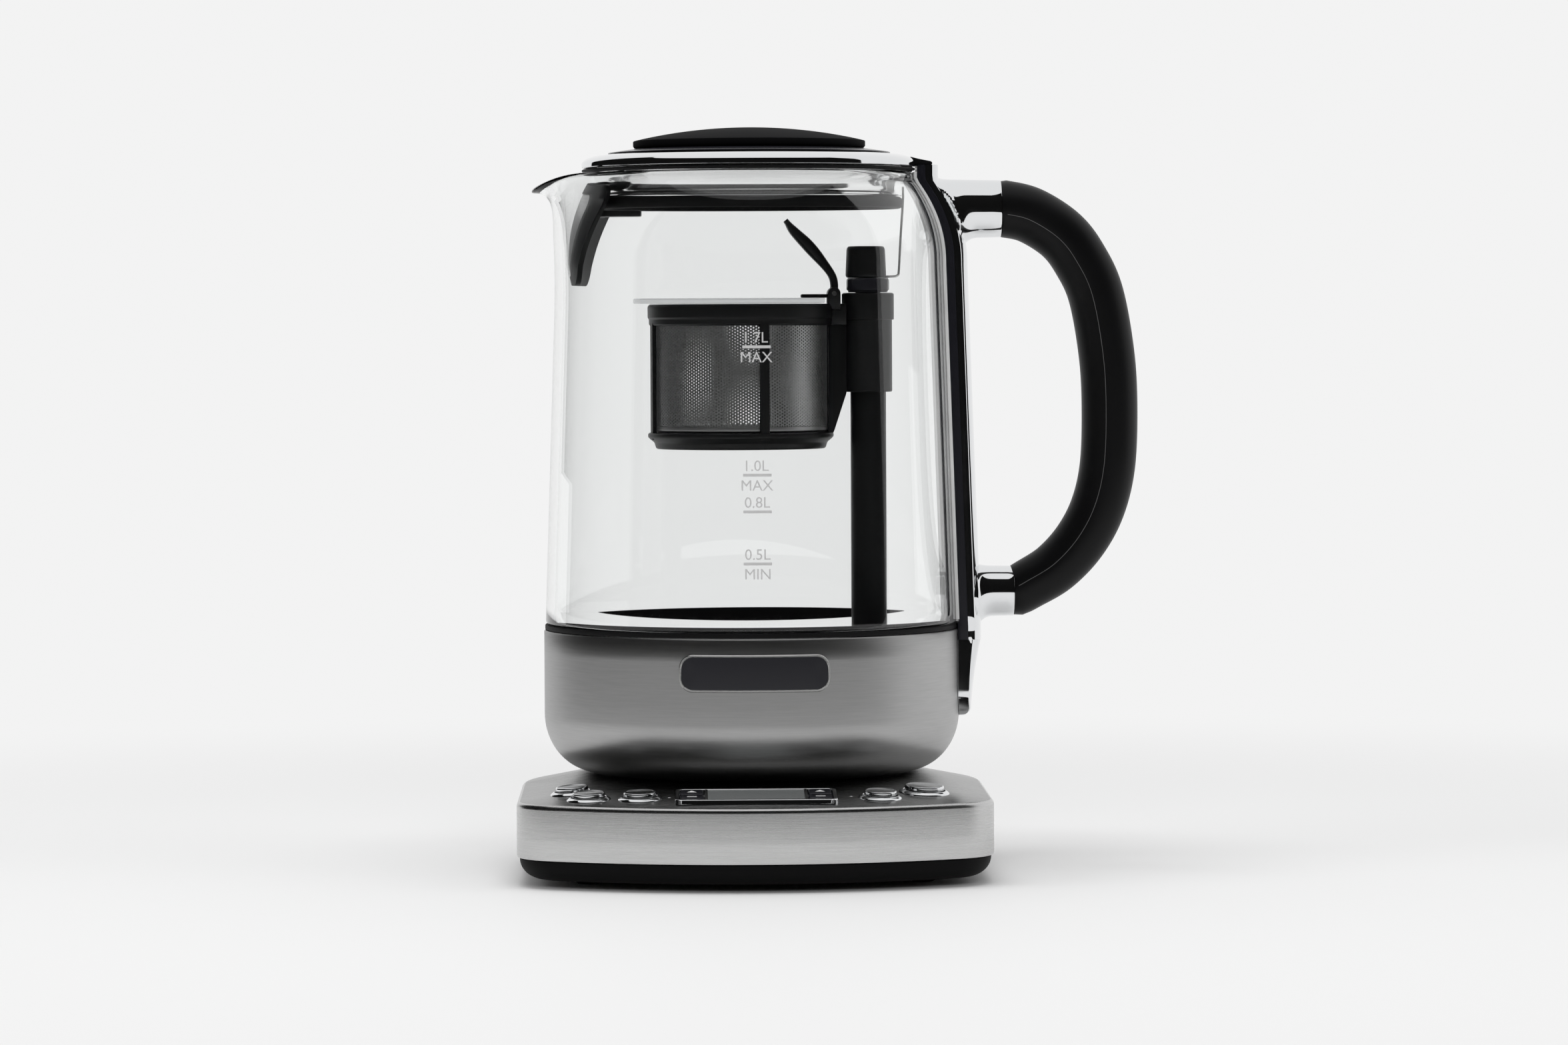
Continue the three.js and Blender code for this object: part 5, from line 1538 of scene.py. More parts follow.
@dataclass(frozen=True)
class GlassShape:
    """The glass's outer line and its pulled spout."""

    foot: float = 88.0
    foot_radius: float = 75.0
    shoulder: float = 218.0
    shoulder_radius: float = 70.6
    neck: float = 249.0
    neck_radius: float = 60.0
    rim: float = 251.8
    wall: float = 3.3
    power: float = 2.2
    spout_root: float = 205.0
    flare_start: float = 228.0
    flare_power: float = 4.0
    spout_line: float = 71.4
    lip: float = 8.9
    droop: float = 5.6
    lip_thick: float = 3.4
    half_angle: float = 0.56

    def radius(self, height: float | np.ndarray) -> np.ndarray:
        """Outer radius away from the spout."""
        z = np.asarray(height, dtype=float)
        taper = (self.foot_radius - self.shoulder_radius) / (self.shoulder - self.foot)
        share = np.clip((z - self.shoulder) / (self.neck - self.shoulder), 0, 1)
        drawn = self.shoulder_radius - self.neck_radius
        turned_in = self.shoulder_radius - drawn * share**self.power
        return np.where(z <= self.shoulder, self.foot_radius - taper * (z - self.foot), turned_in)

    def at(self, height: float) -> float:
        """Outer radius at one height, held between foot and rim."""
        return float(self.radius(min(max(height, self.foot), self.rim)))

    def pulled(self, points: np.ndarray) -> np.ndarray:
        """Pushes points near -X out to the spout's line and its lip."""
        x, y, z = points.T
        away = np.abs(np.arctan2(y, -x))
        near = (z > self.spout_root) & (away < self.half_angle)
        bell = np.cos(np.clip(away / self.half_angle, 0, 1) * math.pi / 2) ** 2
        rise = (z - self.flare_start) / (self.rim - self.flare_start)
        flare = np.clip(rise, 0, None) ** self.flare_power
        line = self.spout_line + self.lip * flare * bell
        ease = np.clip((z - self.spout_root) / (self.flare_start - self.spout_root), 0, 1)
        push = np.where(near, np.maximum(line - self.radius(z), 0) * bell * ease, 0)
        reach = np.hypot(x, y)
        grow = (reach + push) / np.maximum(reach, 1e-6)
        inside = np.clip((self.radius(z) - reach) / self.wall, 0, 1)
        fall = np.where(near, (self.droop - self.lip_thick * (inside - 0.5)) * flare * bell**3.5, 0)
        return np.column_stack([x * grow, y * grow, z - fall])

    def line(self, low: float, high: float, steps: int) -> Points:
        """Radius and height of even points of the outer line."""
        heights = np.linspace(low, high, steps + 1)
        return [(float(r), float(z)) for r, z in zip(self.radius(heights), heights)]


GLASS_SHAPE = GlassShape()


@dataclass
class Jug:
    """The glass with its steel foot and what stands in it."""

    radius: float = 75.5
    shell_foot: float = 34.6
    shell_top: float = 86.0
    shell_wall: float = 1.2
    foot_reach: float = 18.6
    foot_rise: float = 21.0
    cover_opening: float = 50.0
    floor: float = 80.5
    plate_thick: float = 1.5
    plate_dish: float = 9.5
    probe_x: float = 45.0
    badge_size: tuple[float, float, float] = (54.0, 13.4, 5.0)
    badge_height: float = 74.0
    mark_turn: float = 0.97
    mark_width: float = 10.0
    mark_thick: float = 0.04
    letter_height: float = 3.7

    def build(self) -> None:
        """Makes every piece of the jug itself."""
        self.glass()
        self.gasket()
        self.shell()
        self.badge()
        self.heating_floor()
        self.probe()
        self.cover()
        self.socket()
        self.level_marks()
        dress_node("heating_element", TURNED_STEEL)

    def glass(self) -> None:
        """The glass wall, with rounded foot and rim."""
        shape = GLASS_SHAPE
        half = shape.wall / 2
        outer = shape.line(shape.foot + half, shape.shoulder, 26)[:-1]
        outer += shape.line(shape.shoulder, shape.rim - half, 26)
        inner = [(r - shape.wall, z) for r, z in outer][::-1]
        rim = arc((shape.neck_radius - half, shape.rim - half), half, 0, math.pi, 10)[1:-1]
        foot = arc((shape.foot_radius - half, shape.foot + half), half, math.pi, TURN, 8)[1:-1]
        form = revolve(outer + rim + inner + foot, 288).bent(shape.pulled)
        make("jug_glass", form, GLASS, Body.JUG, ["glass_jug"], 60)

    def gasket(self) -> None:
        """The black joint between glass and steel."""
        profile = [(69.75, 86.25), (75.15, 86.25), (75.15, 87.9), (71.5, 87.95), (71.4, 90.1),
                   (69.75, 90.1)]
        make("glass_foot_gasket", turned(profile, 0.35, JUG_SIDES), RUBBER, Body.JUG,
             ["glass_gasket"])

    def shell(self) -> None:
        """The brushed steel shell with its rolled-in foot."""
        top, wall, foot = self.shell_top, self.shell_wall, self.shell_foot
        reach, hole = self.radius, self.cover_opening

        def bend(inset: float) -> Points:
            return [(reach - self.foot_reach + (self.foot_reach - inset) * math.sin(a),
                     foot + self.foot_rise - (self.foot_rise - inset) * math.cos(a))
                    for a in np.linspace(0, math.pi / 2, 22)]

        profile = [(hole + 0.5, foot + 0.2), (hole + 1, foot)] + bend(0)
        profile += [(reach, 62), (reach, 70), (reach, 78), (reach, top - 0.5), (reach - 0.4, top)]
        profile += [(reach - wall, top), (reach - wall, 70), *bend(wall)[::-1], (hole, foot + wall)]
        make("jug_steel_shell", revolve(profile, FINE_SIDES), STEEL, Body.JUG, ["jug_shell"], 50)

    def badge(self) -> None:
        """A bare dark plate in a thin steel border, bent round the shell's front."""
        width, height, corner_radius = self.badge_size
        core = width / 2 - height / 2

        def on_shell(levels: Outline) -> Form:
            flat = pillow(dense(round_rect(width, height, corner_radius, 12), 1.2), core, levels)
            return wrapped(flat, lambda z: np.full_like(z, self.radius), -math.pi / 2,
                           self.badge_height)

        border = on_shell([(0, 0.12), (0.5, 0.12), (1.0, 0.12), (1.0, 0.75), (0.985, 0.95),
                           (0.955, 1.1), (0.88, 1.1), (0.86, 0.95), (0.4, 0.95), (0, 0.95)])
        make("badge_border", border, SPUN_STEEL, Body.JUG, ["badge_plate"])
        face = on_shell([(0, 0.93), (0.84, 0.93), (0.855, 1.0), (0.845, 1.07), (0.4, 1.09),
                         (0, 1.09)])
        make("badge_face", face, GLOSS_BLACK, Body.JUG)

    def heating_floor(self) -> None:
        """The dished steel floor with its rolled rim."""
        rim, top, floor = self.radius - self.shell_wall - 0.3, self.shell_top, self.floor
        flat, bend = rim - self.plate_dish, rim - self.plate_dish / 2
        over = [(0.0, floor), (20, floor), (36, floor), (flat - 2, floor), (flat, floor + 0.2),
                (bend, floor + 2.6), (bend + 1.2, top - 0.3), (bend + 2.2, top), (rim - 0.3, top),
                (rim, top - 0.4)]
        under = [(rim, top - self.plate_thick), (bend + 2.2, top - self.plate_thick),
                 (bend + 0.8, floor + 1.4), (flat, floor - self.plate_thick),
                 (0.0, floor - self.plate_thick)]
        form = turned(over + under, 1.2, JUG_SIDES, False)
        make("heating_floor", form, TURNED_STEEL, Body.JUG, ["heater_plate"], 50)

    def probe(self) -> None:
        """The temperature probe's stub."""
        floor, tip = self.floor, self.floor + 7.5
        profile = [(0, tip), (1.6, tip), (3.0, tip - 1.5), (3.0, floor + 0.4), (4.4, floor + 0.35),
                   (4.6, floor), (4.6, floor - 1.8), (6.0, floor - 1.8), (6.0, floor - 7.8),
                   (0, floor - 7.8)]
        form = turned(profile, 0.5, 48, False).moved(x=-self.probe_x)
        make("thermal_probe", form, SPUN_STEEL, Body.JUG, ["temperature_probe"])

    def cover(self) -> None:
        """The black cover under the jug, with raised grip rings."""
        low, ledge, top = 34.3, 36.1, 38.5
        profile = [(20.5, low + 0.8), (21.3, low), (24.5, low), (25.1, low + 0.8), (30, low + 0.8),
                   (30.6, low), (33, low), (33.6, low + 0.8), (42, low + 0.8), (42.6, low),
                   (49.1, low), (49.7, low + 0.6), (49.7, ledge), (55, ledge), (55, top),
                   (20.5, top)]
        make("jug_underside_cover", turned(profile, 0.3, JUG_SIDES), BLACK, Body.JUG,
             ["jug_bottom_cover"], 40)

    def socket(self) -> None:
        """The round socket that turns on the base's connector."""
        profile = [(0, 46.8), (14.8, 46.8), (14.8, 35.2), (15.4, 34.6), (19.6, 34.6), (20.2, 35.2),
                   (20.2, 38.8), (23, 38.8), (23, 50), (0, 50)]
        make("jug_power_socket", turned(profile, 0.3, 96, False), BLACK, Body.SOCKET,
             ["jug_connector"], 40)

    def level_marks(self) -> None:
        """Plain level bars with their numbers, printed on the front of the glass."""
        azimuth = -math.pi / 2 + math.radians(self.mark_turn)
        half, thick = self.mark_width / 2, self.mark_thick
        bar = dense([(-half, -0.5), (half, -0.5), (half, 0.5), (-half, 0.5)], 1.5)
        dash = pillow(bar, half - 0.5, [(0, 0), (1, 0), (1, thick), (0, thick)])
        forms = []
        for amount, limit, height in (("1.7L", "MAX", 188.9), ("1.0L", "MAX", 143.8),
                                      ("0.8L", "", 130.9), ("0.5L", "MIN", 112.6)):
            forms.append(wrapped(dash, GLASS_SHAPE.radius, azimuth, height))
            for text, step in ((amount, 3.3), (limit, -3.6)):
                if text:
                    letters = raised(words(text, self.letter_height), thick)
                    forms.append(wrapped(letters, GLASS_SHAPE.radius, azimuth, height + step))
        make("level_marks", total(forms), GREY_INK, Body.JUG)


# Handle


@dataclass
class Handle:
    """The black strip, the chrome casting and the black loop grip."""

    strip_angle: float = 0.16
    strip_thick: float = 4.4
    strip_foot: float = 82.0
    spine_thick: float = 2.7
    spine_crown: float = 1.6
    roll: float = 2.7
    edge: float = 0.3
    spine_foot: float = 54.0
    neck_rise: float = 2.5
    pad_thick: float = 1.35
    tip_radius: float = 8.6
    flare: float = 2.6
    flare_reach: float = 6.0
    upper_height: float = 238.4
    upper_end: float = 91.3
    upper_radius: float = 10.4
    lower_height: float = 99.2
    lower_end: float = 95.5
    lower_radius: float = 9.1
    reach: float = 131.0
    middle_radius: float = 10.2
    seam: float = 0.13
    seam_turn: float = 0.2

    def build(self) -> None:
        """Makes every piece of the handle."""
        self.strip()
        self.casting()
        self.grip()
        self.cap()

    def sliver(self, heights: Sequence[float], inner: Callable[[float], float],
               outer: Callable[[float], float], half: Callable[[float], float],
               flank: Callable[[float], float] | None = None) -> Form:
        """An upright strip whose back is flat with soft edges, or rolls out of its flanks.

        Args:
            heights: Height of each of its rings.
            inner: Radius of its inner face at a height.
            outer: Radius of its outer face.
            half: Half of its width.
            flank: Radius at which its flat flanks end and the rolled back starts.

        Returns:
            The strip.
        """
        rings = []
        across = np.sin(np.linspace(math.pi / 2, -math.pi / 2, 35))
        for height in heights:
            near, far, width = inner(height), outer(height), half(height)
            if flank:
                side = flank(height)
                back = side + (far - side) * (1 - np.abs(across) ** self.roll) ** (1 / self.roll)
                flat = [(near, -width), (near, width), *zip(back, width * across)]
            else:
                flat = softened([(near, -width), (near, width), (far, width), (far, -width)],
                                self.edge, True, 5)
            rings.append(np.array([(r * math.cos(y / far), r * math.sin(y / far), height)
                                   for r, y in flat]))
        return loft(rings)

    def strip(self) -> None:
        """The black strip between the glass and the casting."""
        shape = GLASS_SHAPE
        lap = Jug.radius + 0.12

        def inner(z: float) -> float:
            return lap if z < shape.foot else shape.at(z) + self.pad_thick

        def outer(z: float) -> float:
            return shape.at(z) + self.strip_thick

        def half(z: float) -> float:
            return outer(z) * self.strip_angle

        heights = np.linspace(self.strip_foot, shape.rim + self.neck_rise, 90)
        form = self.sliver(heights, inner, outer, half)
        make("handle_strip", form, GLOSS_BLACK, Body.JUG, ["spine_strip"], 40)
        heights = np.linspace(shape.foot + 1.5, shape.rim - 0.1, 80)
        pad = self.sliver(heights, lambda z: shape.at(z) + 0.1, lambda z: inner(z) - 0.02,
                          lambda z: half(z) - 0.2)
        make("handle_strip_pad", pad, SILICONE, Body.JUG)

    def casting(self) -> None:
        """The crowned chrome spine with its two bosses, as one piece."""
        shape = GLASS_SHAPE
        lap, back = Jug.radius + 0.15, shape.foot_radius + self.strip_thick

        def inner(z: float) -> float:
            return lap if z < self.strip_foot else shape.at(z) + self.strip_thick + 0.02

        def rolled(z: float, full: float) -> float:
            roll = min((z - self.spine_foot) / 3.4 + 0.03, 1)
            return lap + (full - lap) * math.sqrt(roll * (2 - roll))

        def outer(z: float) -> float:
            if z > self.strip_foot:
                return inner(z) + self.spine_thick + self.spine_crown
            share = (z - self.spine_foot) / (self.strip_foot - self.spine_foot)
            return rolled(z, back + 0.6 + (self.spine_thick + self.spine_crown - 0.6) * share**1.7)

        def flank(z: float) -> float:
            return inner(z) + 0.35 if z > self.strip_foot else rolled(z, back + 0.05)

        def half(z: float) -> float:
            full = (back if z < shape.foot else outer(z)) * self.strip_angle - 0.1
            rise = min(z - self.spine_foot, self.tip_radius)
            chord = max(self.tip_radius**2 - (self.tip_radius - rise) ** 2, 0)
            return full - self.tip_radius + math.sqrt(chord)

        tip = [self.spine_foot + self.tip_radius * (1 - math.cos(a))
               for a in np.linspace(0, math.pi / 2, 18)]
        top = shape.rim + self.neck_rise
        heights = [*tip, *np.linspace(tip[-1], self.strip_foot - 0.06, 14)[1:],
                   self.strip_foot + 0.01, *np.linspace(self.strip_foot + 1, top, 90)]
        spine = mesh_of("handle_casting", self.sliver(heights, inner, outer, half, flank), CHROME,
                        40)
        root = shape.neck_radius + self.strip_thick + 1.5
        for form in (self.boss(self.upper_height, root, self.upper_end, self.upper_radius, 0.5),
                     self.boss(self.lower_height, back + 1.0, self.lower_end, self.lower_radius,
                               0.2)):
            combined(spine, form, "UNION")
        put(spine, Body.JUG, ["handle_spine"])

    def boss(self, height: float, root: float, end: float, radius: float, swell: float) -> Form:
        """A boss along +X that flares where it leaves the spine, most of all below.

        Args:
            height: Height of its axis.
            root: Where it starts.
            end: Where the grip's end meets it.
            radius: Its radius at that end.
            swell: How much wider it is at its root, before the flare.

        Returns:
            The boss.
        """
        def spine_back(z: np.ndarray) -> np.ndarray:
            return GLASS_SHAPE.radius(z) + self.strip_thick + self.spine_thick * 0.6

        profile = [(0.0, root)]
        profile += [(radius + swell * (1 - share), root + (end - root) * share)
                    for share in (*np.linspace(0, 0.85, 30), 0.995)]
        profile += [(radius - 0.15, end + 0.12), (0.0, end + 0.12)]
        place = Matrix.Translation((0, 0, height)) @ Matrix.Rotation(math.pi / 2, 4, "Y")
        boss = revolve(profile, 96, False).placed(place)
        x, y, z = boss.points.T
        away = np.clip(1 - (x - spine_back(z) - self.spine_crown - 0.6) / self.flare_reach, 0, 1.15)
        grow = 1 + self.flare * away**3 * (0.62 - 0.38 * (z - height) / radius) / radius
        y, z = y * grow, height + (z - height) * grow
        back = spine_back(z)
        spread = back * self.strip_angle - 0.9 + 0.4 * np.maximum(x - back, 0) ** 2
        y = np.clip(y, -spread, spread)
        return Form(np.column_stack([np.maximum(x, np.sqrt(back**2 - y**2)), y, z]), boss.faces)

    def grip(self) -> None:
        """The loop grip, with the fine line where its two halves meet."""
        shares = [(0, 1), (0.27, 0.983), (0.547, 0.9325), (0.723, 0.868), (0.874, 0.774),
                  (0.975, 0.613), (1, 0.4655), (0.975, 0.322), (0.873, 0.214), (0.69, 0.128),
                  (0.437, 0.06), (0.155, 0.0165), (0, 0)]
        route = []
        for out, rise in shares:
            end = self.lower_end + (self.upper_end - self.lower_end) * rise + 0.2
            route.append((end + (self.reach - end) * out, 0.0,
                          self.lower_height + (self.upper_height - self.lower_height) * rise))
        route.insert(1, (route[0][0] + 1.2, 0.0, route[0][2] - 0.02))
        route.insert(-1, (route[-1][0] + 1.2, 0.0, route[-1][2] + 0.02))
        line = smooth_curve(route, 140)
        share = np.linspace(0, 1, len(line))
        ends = self.upper_radius + (self.lower_radius - self.upper_radius) * share
        radii = ends + (self.middle_radius - ends) * np.sin(math.pi * share)
        radii[[0, -1]] -= 0.35
        make("grip_loop", swept(line, circle(72), radii, radii), GRIP_BLACK, Body.JUG,
             ["handle_grip"], 40)
        self.parting_lines(line, radii)

    def parting_lines(self, line: np.ndarray, radii: np.ndarray) -> None:
        """The fine lines, one on each side, where the grip's two halves meet.

        Args:
            line: The grip's centreline.
            radii: Its radius at each point.
        """
        out = np.cross(Y_AXIS, directions(line))
        thick = np.full(len(line) - 4, self.seam)
        forms = []
        for side in (-1, 1):
            level = np.array([0, side * math.cos(self.seam_turn), 0])
            route = line + (out * math.sin(self.seam_turn) + level) * (radii - 0.06)[:, None]
            forms.append(swept(route[2:-2], circle(8), thick, thick))
        # The lines' grey is a painted highlight where the seam catches light.
        make("grip_parting_lines", total(forms), SEAM_PAINTED_HIGHLIGHT, Body.JUG)

    def cap(self) -> None:
        """The black cap where the casting meets the rim."""
        low, top = GLASS_SHAPE.rim + self.neck_rise + 0.05, GLASS_SHAPE.rim + 5.4
        points = np.array(softened([(57.3, low), (65.9, low - 0.1), (66.3, low + 0.5),
                                    (65.8, low + 1.2), (61.0, top - 0.7), (58.4, top),
                                    (57.3, top - 0.4)], 0.5, True, 6))
        centre = points.mean(axis=0)
        rings = []
        for y, inset in ((-10.5, 0.9), (-10.3, 0.35), (-9.8, 0.0), (-5, 0), (0, 0), (5, 0),
                         (9.8, 0.0), (10.3, 0.35), (10.5, 0.9)):
            x, z = (centre + (points - centre) * (1 - inset / 4)).T
            rings.append(np.column_stack([x, np.full(len(x), y), np.maximum(z, low)]))
        make("casting_cap", loft(rings), LID_BLACK, Body.JUG, ["spine_cap"], 40)


# Post and infuser


@dataclass
class Post:
    """The guide post with its cap and the feeler wire."""

    radius: float = 6.5
    wall: float = 1.7
    foot: float = 80.8
    top: float = 207.9
    flange: float = 11.0
    cap_radius: float = 7.9
    cap_height: float = 16.6
    neck_radius: float = 7.8
    neck_height: float = 5.2
    knob_radius: float = 7.4
    wire_radius: float = 0.45
    wire_top: float = 246.0
    wire_reach: float = 56.2

    def build(self) -> None:
        """Makes every piece on the post's axis."""
        self.axis = axis_offset("post_tube")
        bore, low, rim = self.radius - self.wall, self.foot, self.flange
        tube = [(bore, low), (rim - 0.6, low), (rim, low + 0.5), (rim, low + 1.9),
                (rim - 0.6, low + 2.5), (self.radius + 0.9, low + 2.6), (self.radius, low + 3.6),
                (self.radius, self.top), (bore, self.top)]
        make("guide_post", turned(tube, 0.3, SMALL_SIDES).moved(x=self.axis), BLACK, Body.JUG,
             ["post_tube"])
        self.cap()
        self.wire()
        dress_node("lift_motor", TURNED_STEEL)
        dress_node("lead_screw", TURNED_STEEL)
        dress_node("drive_nut", BRASS)

    def cap(self) -> None:
        """The cap: a bright neck and a tapering black top."""
        low, reach, wide = self.top + 0.3, self.neck_radius, self.knob_radius
        shoulder, top = low + self.neck_height, low + self.cap_height
        neck = [(2.3, low - 0.3), (2.3, low - 9), (4.5, low - 9), (4.5, low), (reach - 0.6, low),
                (reach - 0.6, low + 0.5), (reach, low + 0.9), (reach, shoulder - 0.7),
                (reach - 0.5, shoulder), (2.3, shoulder)]
        make("post_neck", turned(neck, 0.25, SMALL_SIDES).moved(x=self.axis), GLOSS_BLACK, Body.JUG,
             ["post_cap"])
        knob = [(0, shoulder + 0.1), (wide - 0.5, shoulder + 0.1), (wide, shoulder + 0.7),
                (wide, shoulder + 2.0), (wide - 0.4, top - 0.9), (wide - 1.0, top), (0, top + 0.05)]
        make("post_knob", turned(knob, 0.7, SMALL_SIDES, False, 6).moved(x=self.axis - 0.7), BLACK,
             Body.JUG)

    def wire(self) -> None:
        """The thin feeler wire from the cap to the neck."""
        start, low = self.axis + self.cap_radius - 1.0, self.top + 6.0
        end, top = self.wire_reach, self.wire_top
        knots = [(start - 1.5, 0, low), (start + 2.2, 0, low), (start + 3.9, 0, low + 0.4),
                 (start + 4.5, 0, low + 2.2), (start + 5.2, 0, low + 14),
                 (start + 6.2, 0, low + 27), (end, 0, top - 3), (end, 0, top)]
        line = smooth_curve(knots, 90)
        thick = np.full(len(line), self.wire_radius)
        make("feeler_wire", swept(line, circle(12), thick, thick), SPUN_STEEL, Body.JUG,
             ["sensor_wire"])


@dataclass
class Infuser:
    """The basket on its carriage, with its strainer, lid and lever."""

    rim_radius: float = 33.8
    rim_wall: float = 1.9
    rim_top: float = 204.1
    rim_height: float = 7.8
    foot: float = 151.6
    foot_height: float = 5.9
    foot_radius: float = 31.0
    rib_width: float = 3.2
    rib_depth: float = 1.5
    rib_turn: float = 0.253
    sleeve_bore: float = 7.1
    sleeve_wall: float = 1.7
    sleeve_foot: float = 172.0
    sleeve_top: float = 208.0
    collar_height: float = 9.7
    bridge_half: float = 6.0
    arm_half: float = 4.0
    ear_radius: float = 2.3
    ear_span: tuple[float, float] = (5.5, 7.5)
    mesh_radius: float = 31.6
    mesh_wall: float = 0.42
    mesh_foot: float = 157.8
    hole_pitch: float = 1.12
    hole: float = 0.66
    wall_thick: float = 0.32
    floor_size: float = 60.0
    floor_pitch: float = 1.7
    floor_hole: float = 0.95
    floor_thick: float = 0.3
    lid_radius: float = 39.0
    lid_thick: float = 1.8

    def build(self) -> None:
        """Makes every piece of the infuser."""
        self.axis = axis_offset("basket_mesh")
        self.post_axis = axis_offset("post_tube")
        low, high = corner("lid_hinge_pin")
        self.hinge_x = (low.x + high.x) / 2 - JUG_AXIS.x
        self.hinge_z = (low.z + high.z) / 2
        self.frame()
        self.strainer()
        self.lid_plate()
        self.lever()
        dress_node("lid_hinge_pin", SPUN_STEEL)

    def frame(self) -> None:
        """Rim, foot ring, four ribs, bridge, arm, sleeve and hinge ears, as one moulding."""
        bore, rim, top = self.rim_radius - self.rim_wall, self.rim_radius, self.rim_top
        low, reach, toward = top - self.rim_height, self.foot_radius, self.post_axis - self.axis
        ring = [(bore, low), (rim - 1.0, low), (rim - 0.5, low + 0.5), (rim - 0.5, low + 2.4),
                (rim - 0.05, low + 2.9), (rim, top - 0.9), (rim - 0.7, top), (bore + 0.3, top),
                (bore, top - 0.4)]
        foot, heel = self.foot, self.foot + self.foot_height
        flange, inner = heel - 2.2, reach - self.rim_wall
        base = [(inner, foot), (reach - 0.5, foot), (reach, foot + 0.5),
                (reach + 0.5, flange - 1.4), (rim - 0.6, flange), (rim, flange + 0.6),
                (rim, heel - 0.5), (rim - 0.5, heel), (inner, heel)]
        hole, start, end = self.sleeve_bore, self.sleeve_foot, self.sleeve_top
        outer, step = hole + self.sleeve_wall, end - self.collar_height
        collar, web, half = outer + 0.7, toward - outer + self.sleeve_wall / 2, self.bridge_half
        sleeve = [(hole, start), (outer - 0.3, start), (outer, start + 0.4), (outer, step - 0.1),
                  (collar, step), (collar, end - 0.5), (collar - 0.5, end), (hole, end)]
        bridge = [(bore + 0.9, -half), (web, -half), (web, half), (bore + 0.9, half)]
        arm = [(bore + 0.2, flange), (rim, heel), (web, start), (web, low + 0.3),
               (bore + 0.2, low + 0.3)]
        parts = [turned(ring, 0.35, BASKET_SIDES), turned(base, 0.4, BASKET_SIDES),
                 self.ribs(bore, flange, low), turned(sleeve, 0.25, SMALL_SIDES).moved(x=toward),
                 plate(softened(bridge, 0.5), low, top),
                 plate(softened(arm, 0.8), -self.arm_half, self.arm_half).placed(LAID),
                 *self.ears()]
        make("infuser_frame", total(parts).moved(x=self.axis), BLACK, Body.CARRIAGE,
             ["basket_frame"])

    def ribs(self, bore: float, low: float, high: float) -> Form:
        """Four upright ribs round the strainer, set out by Geometry Nodes."""
        recipe = Recipe("cage_ribs", {"Width": self.rib_width, "Depth": self.rib_depth,
                                      "Height": high - low + 1.2, "Material": BLACK.material()})
        depth, width, height = (recipe.inputs[name] for name in ("Depth", "Width", "Height"))
        size = recipe.one("ShaderNodeCombineXYZ", _0=depth, _1=width, _2=height)
        bar = recipe.one("GeometryNodeMeshCube", Size=size)
        spot = recipe.one("GeometryNodeInputPosition")
        place = recipe.node("ShaderNodeSeparateXYZ", None, {"Vector": spot})
        angle = recipe.node("ShaderNodeMath", {"operation": "ARCTAN2"},
                            {0: place[1], 1: place[0]})[0]
        turn = recipe.one("ShaderNodeCombineXYZ", _2=angle)
        recipe.set_out(bar, Rotation=turn)
        start = math.pi + self.rib_turn
        spots = arc((0, 0), bore + self.rib_depth / 2, start, start + 1.5 * math.pi, 3)
        return recipe.grown([(x, y, (low + high) / 2 + 0.4) for x, y in spots])

    def ears(self) -> list[Form]:
        """The two ears that hold the hinge pin."""
        reach, low, span = self.ear_radius, self.rim_top - 2.2, self.ear_span
        shape = [(-reach, low), (reach, low)] + arc((0, self.hinge_z), reach, 0, math.pi, 16)
        ear = plate(shape, *span).placed(LAID).moved(x=self.hinge_x - self.axis)
        return [ear, ear.moved(y=sum(span))]

    def strainer(self) -> None:
        """The perforated cup: its wall in two halves, its floor and its plain rims."""
        reach, foot, wall = self.mesh_radius, self.mesh_foot, self.mesh_wall
        low, high = foot + 1.6, self.rim_top - self.rim_height + 1.0
        flat = perforated(math.pi * reach, high - low, self.hole_pitch, self.hole, SHEET_STEEL)
        for name, azimuth, nodes in (("front", -math.pi / 2, ["basket_mesh"]),
                                     ("rear", math.pi / 2, ())):
            half = wrapped(flat, lambda z: np.full_like(z, reach - 0.05), azimuth, (low + high) / 2)
            piece = mesh_of(f"strainer_wall_{name}", half.moved(x=self.axis), SHEET_STEEL, 60)
            put(thickened(piece, self.wall_thick), Body.CARRIAGE, nodes)
        size = self.floor_size
        floor = perforated(size, size, self.floor_pitch, self.floor_hole, SHEET_STEEL,
                           reach - 1.6)
        piece = mesh_of("strainer_floor", floor.moved(x=self.axis, z=foot + 0.35), SHEET_STEEL, 60)
        put(thickened(piece, self.floor_thick), Body.CARRIAGE)
        inner, top = reach - wall, self.rim_top - 0.4
        cuff = turned([(inner, high - 0.6), (reach, high - 0.6), (reach, top), (inner, top)], 0.1,
                      BASKET_SIDES)
        heel = [(reach - 2.6, foot), (reach - 0.6, foot), (reach, foot + 0.6), (reach, low + 0.4),
                (inner, low + 0.4), (inner, foot + 0.9), (reach - 0.9, foot + wall),
                (reach - 2.6, foot + wall)]
        bands = cuff + turned(heel, 0.12, BASKET_SIDES)
        make("strainer_bands", bands.moved(x=self.axis), SHEET_STEEL, Body.CARRIAGE)

    def lid_plate(self) -> None:
        """The clear lid, cut straight at the hinge."""
        low = self.rim_top + 0.3
        high, drawn = low + self.lid_thick, 1 - 0.35 / self.lid_radius
        half = math.acos((self.hinge_x - 4 - self.axis) / self.lid_radius)
        flat = np.array(arc((0, 0), self.lid_radius, half, TURN - half, 120))
        levels = ((drawn, low), (1, low + 0.3), (1, high - 0.3), (drawn, high), (0.94, high),
                  (0.93, high - 0.35))
        lid = loft([at_height(flat * share, height) for share, height in levels]).moved(x=self.axis)
        make("infuser_lid_plate", lid, CLEAR_PLASTIC, Body.INFUSER_LID, ["infuser_lid"])

